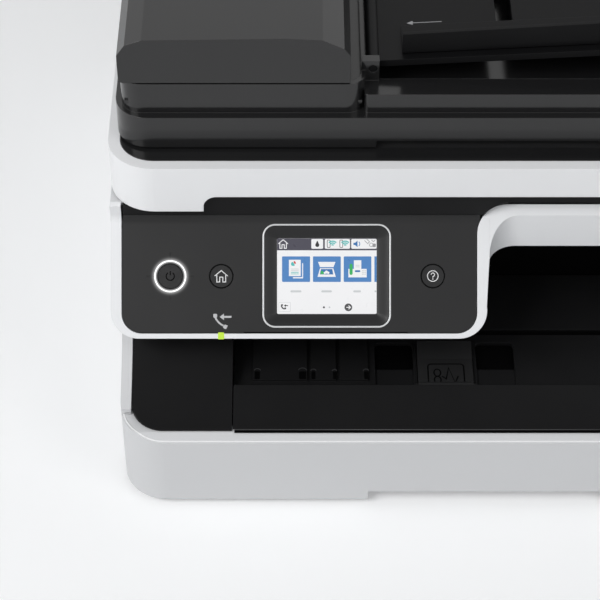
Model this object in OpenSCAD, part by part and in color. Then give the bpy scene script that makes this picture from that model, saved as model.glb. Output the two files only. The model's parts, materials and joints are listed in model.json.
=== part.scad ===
// All-in-one ink-tank inkjet printer. Millimetres, +X right, +Y back, +Z up,
// origin on the floor under the middle of the body.

/* [Overall] */
// Width of the scanner unit and control panel
body_w = 375; // [370:1:380]
// Depth from the cassette front to the rear cover
body_d = 347; // [347:1:350]
// Width of the lower body below the panel line
lower_w = 368.6; // [366:0.2:370]
// Wall thickness of the outer casings
wall = 2.5; // [2:0.1:3]
// Sideways place of the paper path's centre line
paper_x = -18; // [-18:0.5:-17]

/* [Scanner unit] */
// Front face of the white band
band_y = -106; // [-107:0.5:-105]
// Lower edge of the band along the front
band_z = 150.2; // [149.5:0.1:151]
// Lower edge of the band at its two deep corners
lobe_z = 140.8; // [140.5:0.1:141.5]
// Top edge of the band
band_top = 168.3; // [168:0.1:168.6]
// Plan radius of the front corners
band_r = 22.5; // [18:0.5:26]
// Place of the scanner unit's hinge, back from the middle
hinge_y = 162.4; // [162:0.1:163]

/* [Control panel] */
// Bend line at the top of the sloped panel, back from the middle
bend_y = -102; // [-102.5:0.1:-101.5]
// Height of the bend line
bend_z = 132.2; // [131.8:0.1:132.6]
// Length of the sloped face, bend line to bottom edge
slope_len = 58.7; // [57:0.1:60]
// Left edge of the black fascia
fascia_x0 = -181.8; // [-182.5:0.1:-181]
// Right edge of the black fascia
fascia_x1 = -8; // [-9:0.1:-7]
// White trim below the fascia
trim = 2.8; // [2.4:0.1:3.2]
// Radius of the round panel buttons
button_r = 5.9; // [5:0.1:7]
// Width of the picture area of the screen
screen_w = 49; // [48:0.5:50]
// Height of the picture area of the screen
screen_h = 37.2; // [36:0.2:38]

/* [Paper trays] */
// Top of the cassette front at its inner edge
cassette_top = 49.3; // [49:0.1:49.6]
// Inside width of the cassette
cassette_w = 222; // [219:0.5:224]
// Left edge of the output tray
tray_x0 = -127.9; // [-128.2:0.1:-127]
// Right edge of the output tray
tray_x1 = 90.6; // [89:0.1:91]

/* [Ink tanks] */
// Left wall of the tank unit
tank_x0 = 92; // [92:0.5:93]
// Width of one tank
tank_w = 17; // [15:0.2:17.5]
// Gap between two tanks
tank_gap = 3.4; // [3:0.2:4]

/* [Hidden] */
$fn = 64;
eps = 0.02;

// overall
half_w = body_w / 2;
half_low = lower_w / 2;
front_y = -body_d / 2;
back_y = body_d / 2;
panel_line = 90;            // height where the side covers step out to full width

// concave sweep of the front, seen from the side
sweep_y = -199.4;
sweep_z = 176.1;
sweep_r = 130;

// mechanism
plate_x = -147;             // left bearing plate
right_plate_x = 99;         // right bearing plate
roller_z = 80;
feed_y = 28;
exit_y = -48;
gear_m = 1;
gear_n = 28;               // feed and exit gears
pinion_n = 48;             // drive gear between them
pinion_y = (feed_y + exit_y) / 2;
belt_z = 112;
belt_y0 = 33.5;
belt_y1 = 38.5;
pulley_r = 6;
pulley_x = 166;
rail_y = 41.2;
rail_z = 97;

// ---------- shared shapes ----------
module block(x0, x1, y0, y1, z0, z1) {
    translate([x0, y0, z0]) cube([x1 - x0, y1 - y0, z1 - z0]);
}
module along_x(x0, x1) {
    translate([x0, 0, 0]) rotate([90, 0, 90]) linear_extrude(x1 - x0) children();
}
module along_y(y0, y1) {
    translate([0, y1, 0]) rotate([90, 0, 0]) linear_extrude(y1 - y0) children();
}
module rod_x(x0, x1, y, z, r) {
    translate([x0, y, z]) rotate([0, 90, 0]) cylinder(h = x1 - x0, r = r);
}
module rod_y(x, y0, y1, z, r) {
    translate([x, y0, z]) rotate([-90, 0, 0]) cylinder(h = y1 - y0, r = r);
}
module rod_z(x, y, z0, z1, r) {
    translate([x, y, z0]) cylinder(h = z1 - z0, r = r);
}
// rectangle with its own radius at the low-y and high-y corners
module outline(x0, x1, y0, y1, r0, r1) {
    translate([x0 + r0, y0]) square([x1 - x0 - 2 * r0, y1 - y0 - r1]);
    translate([x0, y0 + r0]) square([x1 - x0, y1 - y0 - r0 - r1]);
    translate([x0 + r1, y1 - r1 - eps]) square([x1 - x0 - 2 * r1, r1 + eps]);
    for (x = [x0 + r0, x1 - r0]) translate([x, y0 + r0]) circle(r0);
    for (x = [x0 + r1, x1 - r1]) translate([x, y1 - r1]) circle(r1);
}
module slab(x0, x1, y0, y1, z0, z1, r0, r1) {
    translate([0, 0, z0]) linear_extrude(z1 - z0) outline(x0, x1, y0, y1, r0, r1);
}
// frame of the sloped panel: x along the printer, y up the slope, z outwards
module on_panel() {
    translate([0, bend_y, bend_z]) rotate([45, 0, 0]) children();
}
// spur gear across X, first tooth turned by phase
module gear_x(x0, x1, y, z, n, bore_r, phase) {
    r = gear_m * n / 2;
    pitch = 360 / n;
    translate([x0, y, z]) rotate([90, 0, 90]) linear_extrude(x1 - x0) difference() {
        polygon([for (i = [0:n - 1], k = [[-0.27, -1.2], [-0.09, 0.85], [0.09, 0.85], [0.27, -1.2]])
            let (a = phase + (i + k[0]) * pitch, q = r + k[1] * gear_m) [q * cos(a), q * sin(a)]]);
        circle(bore_r);
    }
}
// everything above the concave sweep of the front
module sweep_cut(x0, x1) {
    rod_x(x0, x1, sweep_y, sweep_z, sweep_r);
}

// ---------- lower casing ----------
bay_x0 = paper_x - cassette_w / 2 - 8;
bay_x1 = paper_x + cassette_w / 2 + 8;
bay_back = 148;
bay_floor = 3.8;
bay_roof = 46.4;
deck_z = 48.4;              // top of the deck over the cassette bay
arm_y = 66;                 // axis of the pickup arm
arm_z = 66;
tip_y = 116;                // axis of the roller at its tip
tip_z = 60;

module base_frame() {
    x0 = bay_x0 - 2.4;
    x1 = bay_x1 + 2.4;
    color([0.13, 0.13, 0.14]) difference() {
        union() {
            slab(-half_low + 3, half_low - 3, -124, 165, bay_floor, bay_floor + 2, 0.5, 9);
            for (x = [x0, bay_x1]) block(x, x + 2.4, -120, 165, bay_floor, deck_z);
            block(x0, x1, bay_back, bay_back + 2.4, bay_floor, deck_z);
            block(x0, x1, -120, bay_back + 2, bay_roof, deck_z);
            for (x = [-171, 167]) block(x, x + 2, -120, 62, bay_floor, deck_z);
            for (x = [paper_x - 36, paper_x + 32]) block(x, x + 4, arm_y - 6, arm_y + 6, bay_roof, arm_z + 6);
        }
        block(paper_x - 31, paper_x + 31, arm_y - 7, 146, bay_roof - 1, deck_z + 1);
        block(bay_x0 + 40, bay_x1 - 40, -90, 30, bay_floor - 1, bay_floor + 3);
        rod_x(paper_x - 40, paper_x + 40, arm_y, arm_z, 3.05);
    }
}

module feet() {
    color([0.08, 0.08, 0.08]) for (x = [-160, 160], y = [-105, 145])
        rod_z(x, y, 0, bay_floor, 8);
}

case_top = 139.6;           // top of the lower casing
corner_y = 154;             // the rear panel wraps round the back corners from here
strip_y = -156.4;           // front end of the strip beside the cheek, over the cassette
rear_top = 137;             // lower at the back, where the scanner unit's edge swings down
// one side cover, drawn for the left and mirrored for the right
module side_cover() {
    strip = 5.4;
    block(-half_w + 1, -181.3, pod_back + 0.3, -60, case_top - 1.7, case_top);
    difference() {
        union() {
            slab(-half_low, -half_low + 60, -168.2, 167, 50, panel_line + 1, 16, 10);
            slab(-half_low, -half_low + 60, -124.6, 167, 4, 50.5, 0.5, 10);
            slab(-half_w, -half_w + 60, pod_back + 0.3, 167, panel_line, case_top, 0.5, 10);
        }
        difference() {
            block(-half_low + wall, 0, -200, 200, 3, panel_line + wall);
            block(-half_low + wall - 1, -half_low + strip, -200, -100, 50, 90);
        }
        translate([0, 0, -wall]) difference() {
            block(-half_low + wall, -half_low + strip + 1, -160, -90, 53, panel_line);
            sweep_cut(-200, 0);
        }
        block(-half_w + wall, 0, -200, 200, panel_line + wall - 0.5, case_top + 1);
        block(-half_low + strip, 0, -200, 200, 3, case_top + 1);
        block(-200, 0, corner_y - 0.2, 200, 0, 200);
        block(-200, 0, -200, pod_back + 0.3, 88, 200);
        block(-200, 0, -200, strip_y, 40, 60);
        intersection() {
            sweep_cut(-200, 0);
            block(-200, 0, -200, 0, 0, 88);
        }
    }
}
module left_side_cover() {
    color([0.9, 0.9, 0.91]) side_cover();
}
module right_side_cover() {
    color([0.9, 0.9, 0.91]) mirror([1, 0, 0]) difference() {
        side_cover();
        block(-half_w - 1, 0, slope_y - 0.4, pod_back + 0.3, tank_floor - 0.4, 200);
    }
}

hinge_x = [-145, 145];      // the scanner unit's two hinges
hinge_z = 144.6;
duplex_x0 = -128;
duplex_x1 = 92;
rear_y = 167.6;
module rear_wrap(half, z0, z1) {
    difference() {
        slab(-half, half, 100, rear_y, z0, z1, 1, 10);
        slab(-half + 2.4, half - 2.4, 90, rear_y - 2.4, z0 - 1, z1 + 1, 1, 8);
        block(-200, 200, 90, corner_y, 0, 200);
    }
}
module rear_panel() {
    color([0.9, 0.9, 0.91]) difference() {
        union() {
            rear_wrap(half_low, 4, panel_line + 1);
            rear_wrap(half_w, panel_line, rear_top);
            for (x = [duplex_x0 - 3, duplex_x1 + 0.6]) block(x, x + 2.4, 128, 166, 50, 126);
            for (x = hinge_x) {
                for (s = [-4.6, 4.6]) block(x + s - 1.4, x + s + 1.4, 158.5, 165.8, 120, 147.4);
                block(x - 6, x + 6, 161.6, rear_y, 120, 134);
                rod_x(x - 4.6, x + 4.6, hinge_y, hinge_z, 2.5);
            }
        }
        block(duplex_x0 - 0.6, duplex_x1 + 0.6, 160, 180, 52, 126);
        block(108, 162, 160, 180, 9, 46);
        block(-172.4, -145.6, 160, 180, 23.6, 46.4);
        block(108, 162, 160, 180, 66, 92);
        for (x = [-172, 105], k = [0:5]) block(x, x + 26, 160, 180, 98 + k * 4, 100 + k * 4);
    }
}

cheek_back = -62;
cheek_r = 16.4;
// black cheek beside the outlet, hollow under its swept face; round at its outer corner
module front_cheek(x0, x1, y1, inner) {
    difference() {
        union() {
            slab(x0, x1, -167.9, cheek_back, 50, 88, cheek_r, 0.5);
            block(min(inner, (x0 + x1) / 2), max(inner, (x0 + x1) / 2), -167.9, cheek_back, 50, 88);
        }
        sweep_cut(-200, 200);
        block(-200, 200, y1, 0, 40, 90);
        difference() {
            slab(x0 + wall, x1 - wall, -165.4, cheek_back + 1, 49, 87, cheek_r - wall, 0.5);
            rod_x(-200, 200, sweep_y, sweep_z, sweep_r + 2.2);
        }
    }
}
module front_panels() {
    edge = half_low - 5.7;
    color([0.06, 0.06, 0.065]) {
        front_cheek(-edge, tray_x0 - 0.5, cheek_back, tray_x0 - 0.5);
        front_cheek(tank_x0 + 0.4, edge, slope_y - 0.4, tank_x0 + 0.4);
    }
}

// black strip under the band, and the plate over the mechanism
module top_frame() {
    z0 = bend_z + 3;
    low = bend_z + fillet_t + 0.25;
    back = frame_y + 0.2;
    color([0.07, 0.07, 0.075]) difference() {
        union() {
            difference() {
                union() {
                    block(-181, frame_cx, bend_y, bend_y + 2.5, low, lobe_z - 0.4);
                    block(-172, frame_cx, bend_y, bend_y + 2.5, lobe_z - 1, band_z - 0.6);
                }
                on_panel() translate([0, 0, -30]) linear_extrude(60) frame_area(frame_r);
            }
            block(frame_cx - 1.5, frame_cx, bend_y, back + 2, frame_z + 7, band_z - 0.6);
            block(frame_cx - 1.5, 181, back, back + 2.5, frame_z + 0.3, lobe_z - 0.4);
            block(frame_cx - 1.5, 172, back, back + 2.5, lobe_z - 1, band_z - 0.6);
            block(-181, fascia_x1 - 4, bend_y + 0.5, 150, z0, z0 + 2.5);
            block(fascia_x1 - 5, 181, wall_back + 0.3, 150, z0, z0 + 2.5);
            block(frame_cx - 1.5, 181, wall_back + 0.3, wall_back + 2.5, z0, z0 + 4);
            for (x = [-172, 100]) block(x, x + 2.5, -80, 40, 129.5, z0 + 1);
        }
        slab(-142, 176, -52, 100, z0 - 10, z0 + 5, 6, 6);
        slab(-142, tank_x0 - 2, -86, 40, z0 - 10, z0 + 5, 6, 6);
    }
}

// ---------- control panel ----------
slope_d = slope_len * cos(45);
slope_y = bend_y - slope_d; // lower edge of the slope
slope_z = bend_z - slope_d;
pod_x1 = -1.6;
pod_r = 13.8;
pod_back = -98.5;
pod_floor = 88.4;
pod_taper = 1.2;            // the pod narrows towards its foot
frame_r = 14.9;             // bend of the white frame, from the pod's edge to the wall's
frame_cx = fascia_x1 + frame_r;
frame_cy = -7.4;
frame_top = frame_cy + frame_r;
frame_y = bend_y + frame_top * cos(45);
frame_z = bend_z + frame_top * cos(45);
wall_y = -100.8;            // white wall between the pod and the tanks
wall_z = 112.9;
wall_back = -95;
wall_r = 14;                // hollow corner beside the pod
wall_front = -116;
// hollow bend between the slope and the upright face above it
module soft_bend(x0, x1) {
    along_x(x0, x1) polygon(concat(
        [for (a = [0 : 9 : 45]) [bend_y - fillet_r + fillet_r * cos(a), bend_z + fillet_t - fillet_r * sin(a)]],
        [[bend_y - 1.3, bend_z - 2.3], [bend_y + 0.6, bend_z - 1.4],
        [bend_y + 1.6, bend_z - 1], [bend_y + 1.6, bend_z + fillet_t]]));
}
// everything right of the frame's outer edge, on the slope
module frame_area(r) {
    translate([frame_cx, frame_cy]) circle(r);
    translate([frame_cx - r, -60]) square([300, 60 + frame_cy]);
    translate([frame_cx, frame_cy - 1]) square([300, r + 1]);
}
// corner between the fascia and the frame's bend, up to a line across the slope
module frame_corner(r, top) {
    difference() {
        translate([fascia_x1 - 1, frame_cy]) square([7, top - frame_cy]);
        translate([frame_cx, frame_cy]) circle(r);
    }
}
module pod_profile() {
    polygon([[pod_back, bend_z + 0.1], [bend_y, bend_z + 0.1], [slope_y, slope_z],
        [slope_y + 3, pod_floor], [pod_back, pod_floor]]);
}
// outer edge of the pod, seen square on; its right side leans in below taper_y
module pod_edge() {
    taper_y = -17;
    cx = pod_x1 - pod_taper - pod_r;
    cy = -slope_len + pod_r;
    reach = [pod_x1 - cx, taper_y - cy];
    a = atan2(reach[1], reach[0]) - acos(pod_r / norm(reach)) - 8;
    inner = pod_r - 0.15;   // the side ends just inside the corner's round
    for (x = [-half_w + pod_r, cx]) translate([x, cy]) circle(pod_r);
    polygon([[-half_w, cy], [-half_w, 40], [pod_x1, 40], [pod_x1, taper_y],
        [cx + inner * cos(a), cy + inner * sin(a)], [cx, cy], [cx, -slope_len],
        [-half_w + pod_r, -slope_len], [-half_w + pod_r, cy]]);
}
module pod_shell() {
    intersection() {
        along_x(-half_w, pod_x1) pod_profile();
        on_panel() translate([0, 0, -80]) linear_extrude(90) pod_edge();
    }
}
module pod_inside() {
    difference() {
        intersection() {
            along_x(-half_w + wall, pod_x1 - wall) polygon([[pod_back + 5, pod_floor + wall],
                [bend_y - 38.6, pod_floor + wall], [bend_y - 1, bend_z - 4.6],
                [bend_y - 1, bend_z + 5], [pod_back + 5, bend_z + 5]]);
            on_panel() translate([0, 0, -90]) linear_extrude(100)
                outline(-half_w + wall, pod_x1 - wall - 1, -slope_len + trim, 40, pod_r - 2, 0.4);
        }
        for (x = [-half_w, fascia_x1 - 0.2]) block(x, x + 6, -118, -90, 108, 140);
    }
}
// wall whose top is cut by the slope and whose face runs into the pod in a hollow corner
module outlet_wall() {
    difference() {
        intersection() {
            along_x(fascia_x1 + 0.3, tank_x0 - 0.3) polygon([[wall_front, wall_z],
                [wall_front, bend_z + wall_front - bend_y], [frame_y, frame_z], [wall_back, frame_z],
                [wall_back, wall_z]]);
            on_panel() translate([0, 0, -40]) linear_extrude(60) frame_area(frame_r - 0.3);
        }
        slab(pod_x1, tank_x0 - 0.8, -130, wall_y, 100, 140, 0.4, wall_r);
    }
}
module panel_housing() {
    color([0.93, 0.93, 0.94]) difference() {
        union() {
            difference() {
                pod_shell();
                pod_inside();
                on_panel() translate([0, 0, -20]) linear_extrude(30) {
                    outline(fascia_x0 - 0.3, fascia_x1 + 0.3, -slope_len + trim - 0.3, 20, 10, 0.4);
                    frame_corner(frame_r - 0.3, 20);
                }
            }
            outlet_wall();
            block(-half_w, fascia_x0 - 0.3, bend_y, pod_back, bend_z - 4, lobe_z - 0.4);
            soft_bend(-half_w, fascia_x0 - 0.3);
        }
        rod_x(fascia_x0 - 3, fascia_x1 + 4.8, hinge_py, hinge_pz, 1.55);
    }
}
hinge_d = 3;                // tilt axis below the fascia's surface
hinge_py = bend_y;
hinge_pz = bend_z - hinge_d / cos(45);
fillet_r = 6;               // soft bend between the fascia and the upright strip above it
fillet_t = fillet_r * tan(22.5);
fascia_t = 3;
power_c = [-158.2, -28.1];
home_c = [-133.2, -28.1];
help_c = [-29.5, -28];
ring_x0 = -113;
ring_x1 = -50;
ring_y0 = -53.3;
ring_y1 = -2.4;
ring_w = 1.2;
lcd_x0 = -81.4 - screen_w / 2;
lcd_y0 = -28 - screen_h / 2;
lcd_drop = 3.4;             // how far the screen lies below the fascia
module panel_fascia() {
    color([0.07, 0.07, 0.075]) {
        difference() {
            union() {
                on_panel() translate([0, 0, -fascia_t]) linear_extrude(fascia_t) {
                    outline(fascia_x0, fascia_x1, -slope_len + trim, 0, 9.8, 0.3);
                    frame_corner(frame_r, 0);
                }
                difference() {
                    soft_bend(fascia_x0 + 0.4, fascia_x1 + 1.6);
                    on_panel() translate([frame_cx, frame_cy, -10]) cylinder(h = 20, r = frame_r);
                }
                rod_x(fascia_x0 + 0.5, fascia_x1 - 0.5, hinge_py, hinge_pz, hinge_d - 0.15);
                rod_x(fascia_x0 - 2.6, fascia_x1 + 4.4, hinge_py, hinge_pz, 1.5);
                on_panel() translate([0, 0, -9]) linear_extrude(7)
                    outline(ring_x0 + 1, ring_x1 - 1, ring_y0 + 1, ring_y1 - 3, 5, 5);
            }
            on_panel() translate([0, 0, -lcd_drop]) linear_extrude(20)
                outline(ring_x0 + ring_w, ring_x1 - ring_w, ring_y0 + ring_w, ring_y1 - ring_w, 5, 5);
            on_panel() translate([0, 0, -8]) linear_extrude(6)
                square_at(lcd_x0 - 3.2, lcd_y0 - 3.2, screen_w + 6.4, screen_h + 6.4);
            for (c = [power_c, home_c, help_c])
                on_panel() translate([c[0], c[1], -20]) cylinder(h = 40, r = button_r + 0.15);
        }
    }
}
module square_at(x, y, w, h) {
    translate([x, y]) square([w, h]);
}
module screen() {
    color([0.2, 0.35, 0.5]) on_panel() translate([lcd_x0 - 3, lcd_y0 - 3, -7.8])
        cube([screen_w + 6, screen_h + 6, 7.8 - lcd_drop - 0.02]);
}
module round_button(c) {
    on_panel() translate([c[0], c[1], 0]) {
        translate([0, 0, -4]) cylinder(h = 4, r = button_r);
        translate([0, 0, -5.4]) cylinder(h = 1.5, r = button_r + 1.4);
    }
}
module power_button() {
    color([0.1, 0.1, 0.11]) round_button(power_c);
}
module home_button() {
    color([0.1, 0.1, 0.11]) round_button(home_c);
}
module help_button() {
    color([0.1, 0.1, 0.11]) round_button(help_c);
}

// ---------- tank unit ----------
tank_floor = 53.2;
tank_base = tank_floor + wall + 0.3;
tank_front = slope_y + 4.8;
tank_y1 = -62;
tank_top = 96;
fill_y = -112;              // fillers
cap_py = -99.6;             // hinge axis of the caps
cap_pz = 101.6;
module tank_profile() {
    polygon([[pod_back, tank_floor], [pod_back, 104], [wall_back, 108], [wall_back, frame_z],
        [frame_y, frame_z], [slope_y, slope_z], [slope_y, tank_floor]]);
}
// room for the tanks, open at the back
module tank_room() {
    front = slope_y + wall + 2;
    polygon([[wall_back + 5, tank_floor + wall], [wall_back + 5, frame_z - wall],
        [frame_y + 3, frame_z - wall], [front, slope_z - wall / 2], [front, tank_floor + wall]]);
}
module tank_housing() {
    gap = 0.3;              // round the cover
    color([0.93, 0.93, 0.94]) difference() {
        union() {
            difference() {
                union() {
                    along_x(tank_x0, half_low) tank_profile();
                    intersection() {
                        along_x(half_low - 1, half_w) tank_profile();
                        block(0, 200, -200, pod_back, panel_line, 200);
                    }
                }
                along_x(tank_x0 + wall, half_low - wall) tank_room();
                block(window_x0 - 0.2, window_x1 + 0.2, -160, -130, window_z0 - 0.2, window_top + 0.2);
                on_panel() translate([0, 0, -12]) linear_extrude(30)
                    outline(cover_x0 - gap, cover_x1 + gap, cover_low - gap, cover_top + 3.4, 5.3, 0.4);
            }
            for (x = [cover_x0 - 5.4, cover_x1 + 0.4])
                on_panel() translate([x, cover_top - 3, -8]) cube([5, 6, 6.4]);
            block(181.3, half_w, bend_y + 1.1, pod_back, bend_z - 2, lobe_z - 0.4);
        }
        rod_x(cover_x0 - 4.2, cover_x1 + 4.2, cover_py, cover_pz, 1.55);
    }
}
window_x0 = 101;
window_x1 = 178;
window_z0 = 58;
window_top = 87.5;
cover_x0 = 100;             // sloped cover over the fillers
cover_x1 = 179;
cover_low = -55;
cover_top = -9;
cover_d = 2.6;              // its hinge axis below the slope
cover_py = bend_y + (cover_top + cover_d) * cos(45);
cover_pz = bend_z + (cover_top - cover_d) * cos(45);
module tank_window() {
    y0 = slope_y + 0.3;
    color([0.1, 0.1, 0.11]) difference() {
        block(window_x0, window_x1, y0, y0 + 2, window_z0, window_top);
        for (k = [0:3]) block(tank_x(k) + tank_w / 2 - 5, tank_x(k) + tank_w / 2 + 5, y0 - 1, y0 + 3,
            window_z0 + 4, window_top - 4);
    }
}
function tank_x(k) = 101.6 + k * (tank_w + tank_gap);
module tank_side(t) {
    polygon([[tank_front + t, tank_base + t], [tank_front + t, 89.1 - t * 0.4],
        [-131.8 + t * 0.4, tank_top - t], [tank_y1 - t, tank_top - t], [tank_y1 - t, tank_base + t]]);
}
module tank(k, c) {
    x = tank_x(k);
    color(c) difference() {
        union() {
            along_x(x, x + tank_w) tank_side(0);
            rod_z(x + tank_w / 2, fill_y, tank_top - 1, tank_top + 4, 5.4);
            for (s = [-1, 1]) block(x + tank_w / 2 + s * 3.8 - 1, x + tank_w / 2 + s * 3.8 + 1,
                cap_py - 1.6, cap_py + 1.6, tank_top - 1, cap_pz + 2);
        }
        along_x(x + 1.6, x + tank_w - 1.6) tank_side(1.6);
        rod_z(x + tank_w / 2, fill_y, tank_top - 6, tank_top + 5, 3.8);
        rod_x(x, x + tank_w, cap_py, cap_pz, 0.95);
    }
}
module tank_black() {
    tank(0, [0.1, 0.1, 0.1]);
}
module tank_cyan() {
    tank(1, [0.1, 0.55, 0.75]);
}
module tank_magenta() {
    tank(2, [0.75, 0.15, 0.45]);
}
module tank_yellow() {
    tank(3, [0.9, 0.8, 0.15]);
}
// cap hinged behind its filler
module ink_cap(k, c) {
    x = tank_x(k) + tank_w / 2;
    color(c) {
        difference() {
            rod_z(x, fill_y, tank_top + 2.2, tank_top + 6.8, 6.9);
            rod_z(x, fill_y, tank_top + 1, tank_top + 4.6, 5.7);
        }
        block(x - 2.4, x + 2.4, fill_y + 6, cap_py, cap_pz - 1, cap_pz + 1);
        rod_x(x - 2.4, x + 2.4, cap_py, cap_pz, 1.8);
        rod_x(x - 4.7, x + 4.7, cap_py, cap_pz, 0.9);
    }
}
module cap_black() {
    ink_cap(0, [0.1, 0.1, 0.1]);
}
module cap_cyan() {
    ink_cap(1, [0.1, 0.55, 0.75]);
}
module cap_magenta() {
    ink_cap(2, [0.75, 0.15, 0.45]);
}
module cap_yellow() {
    ink_cap(3, [0.9, 0.8, 0.15]);
}
module tank_cover() {
    color([0.93, 0.93, 0.94]) {
        difference() {
            union() {
                on_panel() translate([0, 0, -2.4]) linear_extrude(2.4)
                    outline(cover_x0, cover_x1, cover_low, cover_top, 5, 0.4);
                rod_x(cover_x0 + 0.5, cover_x1 - 0.5, cover_py, cover_pz, cover_d - 0.15);
                rod_x(cover_x0 - 4, cover_x1 + 4, cover_py, cover_pz, 1.5);
            }
            on_panel() translate([130, cover_low - 3, -1.2]) cube([20, 7, 3]);
        }
    }
}

// ---------- print mechanism ----------
module mechanism_frame() {
    color([0.62, 0.64, 0.66]) difference() {
        union() {
            block(-176, 176, 46.2, 47.7, 58, 127);
            block(-176, 176, 47.7, 59.6, 58, 59.5);
            block(-176, 176, 38, 47.7, 127, 128.5);
            block(plate_x, plate_x + 1.5, -62, 46.2, 56, 100);
            block(right_plate_x, right_plate_x + 1.5, -62, 46.2, 56, 84.4);
            block(plate_x, right_plate_x + 1.5, -62, -60.5, 56, 66);
            for (x = [-176, 160]) block(x, x + 16, 47.7, 60, deck_z, 59.5);
        }
        for (y = [feed_y, exit_y]) rod_x(-200, 120, y, roller_z, 4.05);
        rod_x(plate_x - 5, plate_x + 5, pinion_y, roller_z, 2.05);
        for (x = [-pulley_x, pulley_x]) rod_y(x, 30, 60, belt_z, 2.05);
        for (x = [-110, -50, 10, 70]) block(x, x + 30, 40, 50, 64, 88);
        rod_x(-170, 120, rail_y, rail_z, 4.1);
        block(98, 102, -24.3, 2.3, 55, 60.3);
    }
}

module carriage_rail() {
    color([0.75, 0.76, 0.78]) {
        rod_x(-174, 174, rail_y, rail_z, 4);
        for (x = [-174, 168]) block(x, x + 6, 37.2, 46.2, 90, 104);
    }
}

module platen() {
    color([0.09, 0.09, 0.095]) {
        difference() {
            block(-140, 92, exit_y + 8, feed_y - 8, 52, 81);
            block(-136, 88, exit_y + 11, feed_y - 11, 51, 78);
            block(-132, 84, -24, 2, 76, 82);
        }
        for (k = [0:20]) block(-131 + k * 10.6, -129.5 + k * 10.6, -39.5, 19.5, 80.9, 83.4);
        // capping station under the carriage's parking place
        difference() {
            union() {
                block(car_x0 + 2, car_x1 - 2, -30, 22, 52, 82);
                block(car_x0 + 10, car_x1 - 10, -16, 16, 81, 85.6);
                block(91, car_x0 + 3, -24, 2, 52, 60);
            }
            block(car_x0 + 12, car_x1 - 12, -14, 14, 84, 87);
            block(car_x0 + 5, car_x1 - 5, -27, 19, 51, 79);
        }
    }
}

module feed_roller() {
    color([0.3, 0.3, 0.32]) {
        rod_x(-158, 104, feed_y, roller_z, 4);
        rod_x(-142, 94, feed_y, roller_z, 6.5);
        gear_x(-157, -152, feed_y, roller_z, gear_n, 3.9, 0);
    }
}

module exit_roller() {
    color([0.3, 0.3, 0.32]) {
        rod_x(-158, 104, exit_y, roller_z, 4);
        for (k = [0:6]) rod_x(-136 + k * 35, -124 + k * 35, exit_y, roller_z, 6.5);
        gear_x(-157, -152, exit_y, roller_z, gear_n, 3.9, 0);
    }
}

module motor_pinion() {
    color([0.85, 0.8, 0.65]) {
        gear_x(-157.5, -151.5, pinion_y, roller_z, pinion_n, 1.9, 180 / pinion_n);
        rod_x(-162.9, -145, pinion_y, roller_z, 2);
    }
}

module motors() {
    color([0.55, 0.56, 0.58]) {
        difference() {
            rod_x(-181, -160, pinion_y, roller_z, 13);
            rod_x(-163, -150, pinion_y, roller_z, 2.05);
        }
        block(-176, -160, pinion_y - 9, pinion_y + 9, deck_z, 69);
        difference() {
            rod_y(pulley_x, 47.7, 72, belt_z, 13.4);
            rod_y(pulley_x, 46, 50.4, belt_z, 5);
        }
    }
}

module pulley(x, y_end) {
    rod_y(x, belt_y0, belt_y1, belt_z, pulley_r);
    rod_y(x, belt_y0 - 1, belt_y0, belt_z, pulley_r + 1.6);
    rod_y(x, belt_y1, belt_y1 + 1, belt_z, pulley_r + 1.6);
    rod_y(x, belt_y0 - 2, y_end, belt_z, 2);
}
module drive_pulley() {
    color([0.75, 0.65, 0.35]) pulley(pulley_x, 50);
}
module idle_pulley() {
    color([0.75, 0.65, 0.35]) pulley(-pulley_x, 50);
}
module carriage_belt() {
    color([0.05, 0.05, 0.05]) difference() {
        belt_loop(pulley_r + 1.25);
        belt_loop(pulley_r + 0.25);
    }
}
module belt_loop(r) {
    rod_y(-pulley_x, belt_y0 + 0.2, belt_y1 - 0.2, belt_z, r);
    rod_y(pulley_x, belt_y0 + 0.2, belt_y1 - 0.2, belt_z, r);
    block(-pulley_x, pulley_x, belt_y0 + 0.2, belt_y1 - 0.2, belt_z - r, belt_z + r);
}

car_x0 = 104;
car_x1 = 158;
module print_carriage() {
    color([0.12, 0.12, 0.13]) difference() {
        union() {
            block(car_x0, car_x1, -36, 26, 90, 124);
            block(car_x0, car_x1, 25, 45.6, 90, 103.4);
            block(car_x0 + 14, car_x1 - 14, 25, 45.6, 103, 109.4);
        }
        block(car_x0 + 2.5, car_x1 - 2.5, -33.5, 23.5, 93, 125);
        rod_x(car_x0 - 1, car_x1 + 1, rail_y, rail_z, 4.06);
        block(car_x0 - 1, car_x1 + 1, 38.5, 47, 89, 95);
        block(car_x0, car_x1, belt_y0 - 0.2, belt_y1 + 0.2, belt_z - pulley_r - 1.65, 112);
        block(car_x0 + 12, car_x1 - 12, -14, 14, 89, 94);
    }
}
module print_head() {
    color([0.2, 0.2, 0.22]) {
        block(car_x0 + 12.3, car_x1 - 12.3, -13.7, 13.7, 86.2, 93);
        block(car_x0 + 6, car_x1 - 6, -24, 18, 93, 108);
        for (k = [0:3]) rod_z(car_x0 + 14 + k * 8.6, -14, 107, 116, 2.4);
    }
}

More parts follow.
